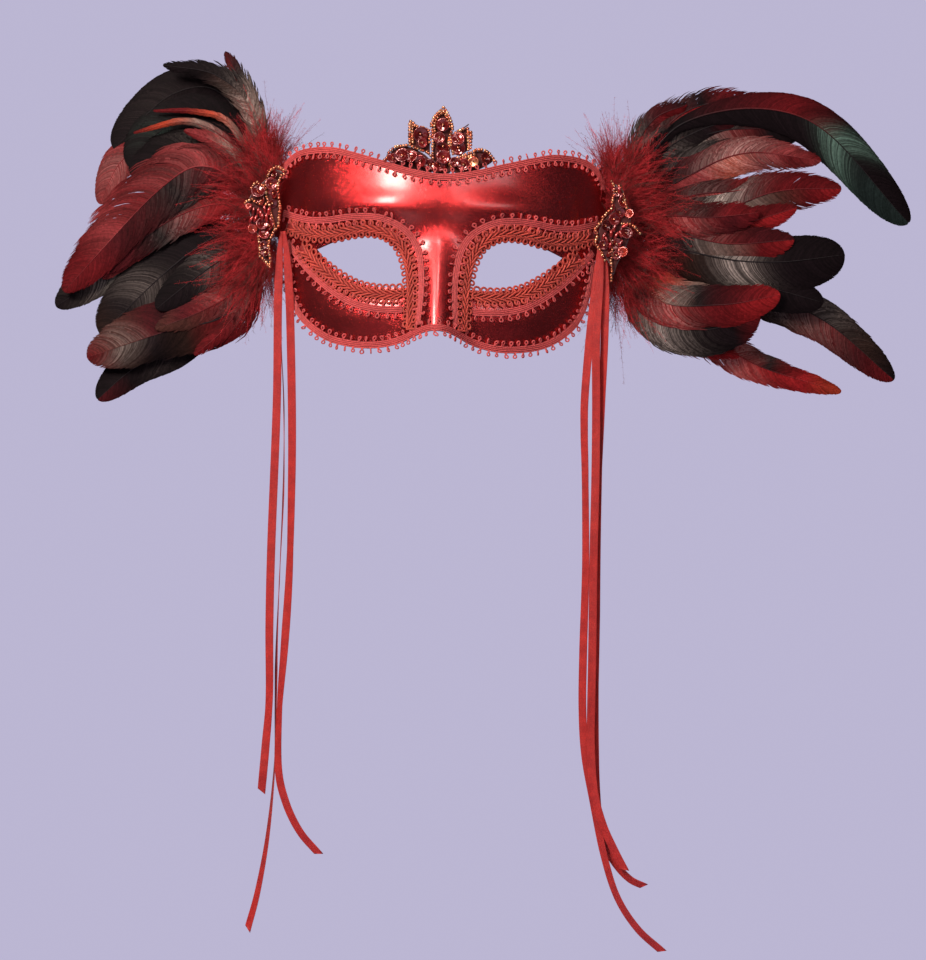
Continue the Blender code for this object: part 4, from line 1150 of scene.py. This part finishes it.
# Each ribbon: body, turn in degrees at even fractions of its length, and its route.
RIBBONS = {
    "left_outer_ribbon": ("left_ties", (6, -8, 10, -6, 4, 14, 30, -20), [
        (-87, 31.2, 9), (-87.6, 31.2, -4), (-87.6, 31.2, -32), (-86.4, 31.5, -85),
        (-86.7, 32, -163), (-86.2, 32, -207), (-84.9, 32, -246), (-86, 32, -273),
        (-87.4, 32, -298)]),
    "left_middle_ribbon": ("left_ties", (90, 84, 92, 78, 90, 70, 84, 60, 36), [
        (-86.4, 35.2, 7), (-86.8, 35.3, -14), (-85.4, 35.6, -50), (-82.7, 36, -86), (-81.3, 36, -130),
        (-81.7, 36, -174), (-82, 36, -218), (-81.4, 36, -251), (-80.9, 36, -284), (-83.3, 36, -322),
        (-87.7, 36, -353), (-92.5, 36, -374)]),
    "left_inner_ribbon": ("left_ties", (4, -10, 8, 20, 40, 12, 50, 20, 30), [
        (-85.6, 29.4, 9), (-83.2, 29.2, -8), (-80.6, 29.0, -38), (-77.6, 30.4, -96),
        (-76.5, 31, -140), (-76.3, 31, -179), (-77.5, 31, -218), (-79, 31, -251),
        (-78.6, 31, -284), (-74, 31, -303), (-65.7, 31, -319), (-54.8, 31, -331)]),
    "right_inner_ribbon": ("right_ties", (2, 10, 24, 40, 34, 20, 24, 30, 40, 30), [
        (87.4, 31.2, 8), (86, 31.2, -14), (83.8, 31.4, -41), (82.1, 32, -75), (82.5, 32.5, -96),
        (83.8, 33, -119), (85.8, 33, -168), (86.1, 33, -215), (86.8, 33, -247), (89.1, 33, -272),
        (94.4, 33, -297), (101.2, 33, -326), (109.3, 33, -349), (121, 33, -366), (135, 33, -378)]),
    "right_middle_ribbon": ("right_ties", (-4, 4, -6, 8, -4, 6, -8, 12, 20), [
        (88.6, 30.2, 8), (87.8, 30.2, -18), (87.2, 30.4, -46), (88.6, 31, -85), (89.5, 31, -124),
        (89.9, 31, -163), (91, 31, -215), (91.5, 31, -247), (92, 31, -267), (94.5, 31, -291),
        (99.8, 31, -309), (106.6, 31, -323), (112.8, 31, -334)]),
    "right_outer_ribbon": ("right_ties", (0, 14, 44, 60, 44, 30, 44, 30, 20, 34), [
        (90, 32.2, 7), (91.4, 32.4, -20), (91.8, 33, -46), (91.8, 35, -80), (91.8, 36, -124),
        (92.1, 36, -163), (93.2, 36, -215), (93.9, 36, -245), (94.6, 36, -266), (95.8, 36, -288),
        (98, 36, -307), (102.5, 36, -322), (108.6, 36, -332), (116.2, 36, -339.5),
        (124, 36, -343)])}
RIBBON_SECTION = [(-1.0, 0.14), (-0.9, 0.2), (-0.5, 0.12), (0.0, 0.1), (0.5, 0.12), (0.9, 0.2),
                  (1.0, 0.14), (1.0, -0.14), (0.9, -0.2), (0.5, -0.12), (0.0, -0.1), (-0.5, -0.12),
                  (-0.9, -0.2), (-1.0, -0.14)]


def make_ribbons():
    satin = ribbon_material()
    for name, (body, turns, points) in RIBBONS.items():
        line = smooth_line(points, 1.6)
        run = arc_lengths(line)
        tangent = unit(np.gradient(line, axis=0))
        across = unit(np.cross((0.0, -1.0, 0.0), tangent))
        facing = np.cross(tangent, across)
        angle = np.radians(np.interp(run / run[-1], np.linspace(0, 1, len(turns)), turns))
        side = across * np.cos(angle)[:, None] + facing * np.sin(angle)[:, None]
        normal = np.cross(tangent, side)
        rings = []
        runs = []
        gather = 1.0 - 0.62 * np.clip(1.0 - run / 26.0, 0.0, 1.0) ** 1.5
        for offset, lift in RIBBON_SECTION:
            slant = np.zeros(len(run))
            slant[-2:] = (0.4 * offset, 1.5 * offset)
            fold = 0.7 * (1.0 - gather) * math.cos(3.0 * offset)
            rings.append(line + side * (offset * RIBBON_WIDTH / 2 * gather)[:, None]
                         + normal * (lift + fold)[:, None] + tangent * slant[:, None])
            runs.append(np.stack([run, np.full(len(run), offset * RIBBON_WIDTH / 2)], axis=-1))
        form = Form()
        form.sweep(np.stack(rings, axis=1), runs=np.stack(runs, axis=1))
        piece = form.finish(name.replace("_ribbon", "_satin_ribbon"), satin, body, (name,))


# ---------------------------------------------------------------- stage, light, camera

def make_camera():
    camera = bpy.data.objects.new("camera", bpy.data.cameras.new("camera"))
    camera.data.lens = CAMERA_LENS
    camera.data.sensor_width = CAMERA_SENSOR
    camera.data.clip_end = 20.0
    bpy.context.scene.collection.objects.link(camera)
    cos, sin = math.cos(CAMERA_ROLL), math.sin(CAMERA_ROLL)
    x, y, z = CAMERA_AIM
    camera.matrix_world = Matrix(((cos, -sin, 0, x * MM), (0, 0, -1, (y - CAMERA_DISTANCE) * MM),
                                  (sin, cos, 0, z * MM), (0, 0, 0, 1)))
    bpy.context.scene.camera = camera


# Name, degrees to the left of the camera, degrees up, distance and size in metres, power and colour.
LIGHTS = [
    ("key", 31, 25, 1.5, (0.42, 0.46), 23.0, (1.0, 0.93, 0.84)),
    ("front", -23, 20, 2.0, (1.4, 0.4), 7.0, (1.0, 0.97, 0.95)),
    ("upper", 4, 42, 1.6, (0.2, 0.2), 3.2, (1.0, 0.95, 0.90)),
    ("low", 10, -16, 1.9, (0.7, 0.3), 0.6, (1.0, 0.95, 0.95)),
    ("top", 10, 72, 1.5, (0.6, 0.6), 5.0, (1.0, 0.97, 0.95)),
    ("back_left", 150, 35, 1.7, (0.8, 0.8), 4.0, (0.93, 0.93, 1.0)),
    ("back_right", -150, 35, 1.7, (0.8, 0.8), 4.0, (0.93, 0.93, 1.0))]
LIGHT_AIM = Vector((0.0, 0.03, 0.0))
AMBIENT = (0.055, 0.05, 0.06, 1)
BACKDROP = (0.50, 0.47, 0.65, 1)


def area_light(name, spot, size, power, colour):
    data = bpy.data.lights.new(name, "AREA")
    data.shape = "RECTANGLE"
    data.size, data.size_y = size
    data.energy = power
    data.color = colour
    lamp = bpy.data.objects.new(name, data)
    lamp.location = spot
    lamp.rotation_euler = (LIGHT_AIM - Vector(spot)).to_track_quat("-Z", "Y").to_euler()
    bpy.context.scene.collection.objects.link(lamp)


def make_stage():
    world = bpy.data.worlds.new("studio")
    bpy.context.scene.world = world
    world.use_nodes = True
    tree = world.node_tree
    background = tree.nodes["Background"]
    path = tree.nodes.new("ShaderNodeLightPath")
    mix = tree.nodes.new("ShaderNodeMix")
    mix.data_type = "RGBA"
    mix.inputs[6].default_value = AMBIENT
    mix.inputs[7].default_value = BACKDROP
    tree.links.new(path.outputs["Is Camera Ray"], mix.inputs[0])
    tree.links.new(mix.outputs[2], background.inputs["Color"])
    floor_mesh = bpy.data.meshes.new("floor")
    form = bmesh.new()
    bmesh.ops.create_circle(form, cap_ends=True, segments=96, radius=FLOOR_RADIUS)
    form.to_mesh(floor_mesh)
    form.free()
    n = Nodes("pale_floor")
    n.link(n.ramp(n.noise(3.0), [(0.3, (0.50, 0.47, 0.63)), (0.7, (0.53, 0.50, 0.66))]), "Base Color")
    n.set(Roughness=0.9)
    floor_mesh.materials.append(n.material)
    floor = bpy.data.objects.new("floor", floor_mesh)
    floor.location.z = FLOOR_HEIGHT * MM
    bpy.context.scene.collection.objects.link(floor)
    for name, turn, rise, distance, size, power, colour in LIGHTS:
        turn, rise = math.radians(turn), math.radians(rise)
        spot = (-distance * math.sin(turn) * math.cos(rise), -distance * math.cos(turn) * math.cos(rise),
                distance * math.sin(rise))
        area_light(name, spot, size, power, colour)


bpy.context.scene.view_settings.view_transform = "Standard"
make_camera()
make_ribbons()
make_stage()
make_shell()
make_trim()
felt = felt_material("dark_red_felt", (0.035, 0.003, 0.004), (0.12, 0.009, 0.009))
beads = bead_material()
stones = stone_material()
make_crown(beads, stones, felt)
make_temples(beads, stones, felt)
make_feathers()
make_down()
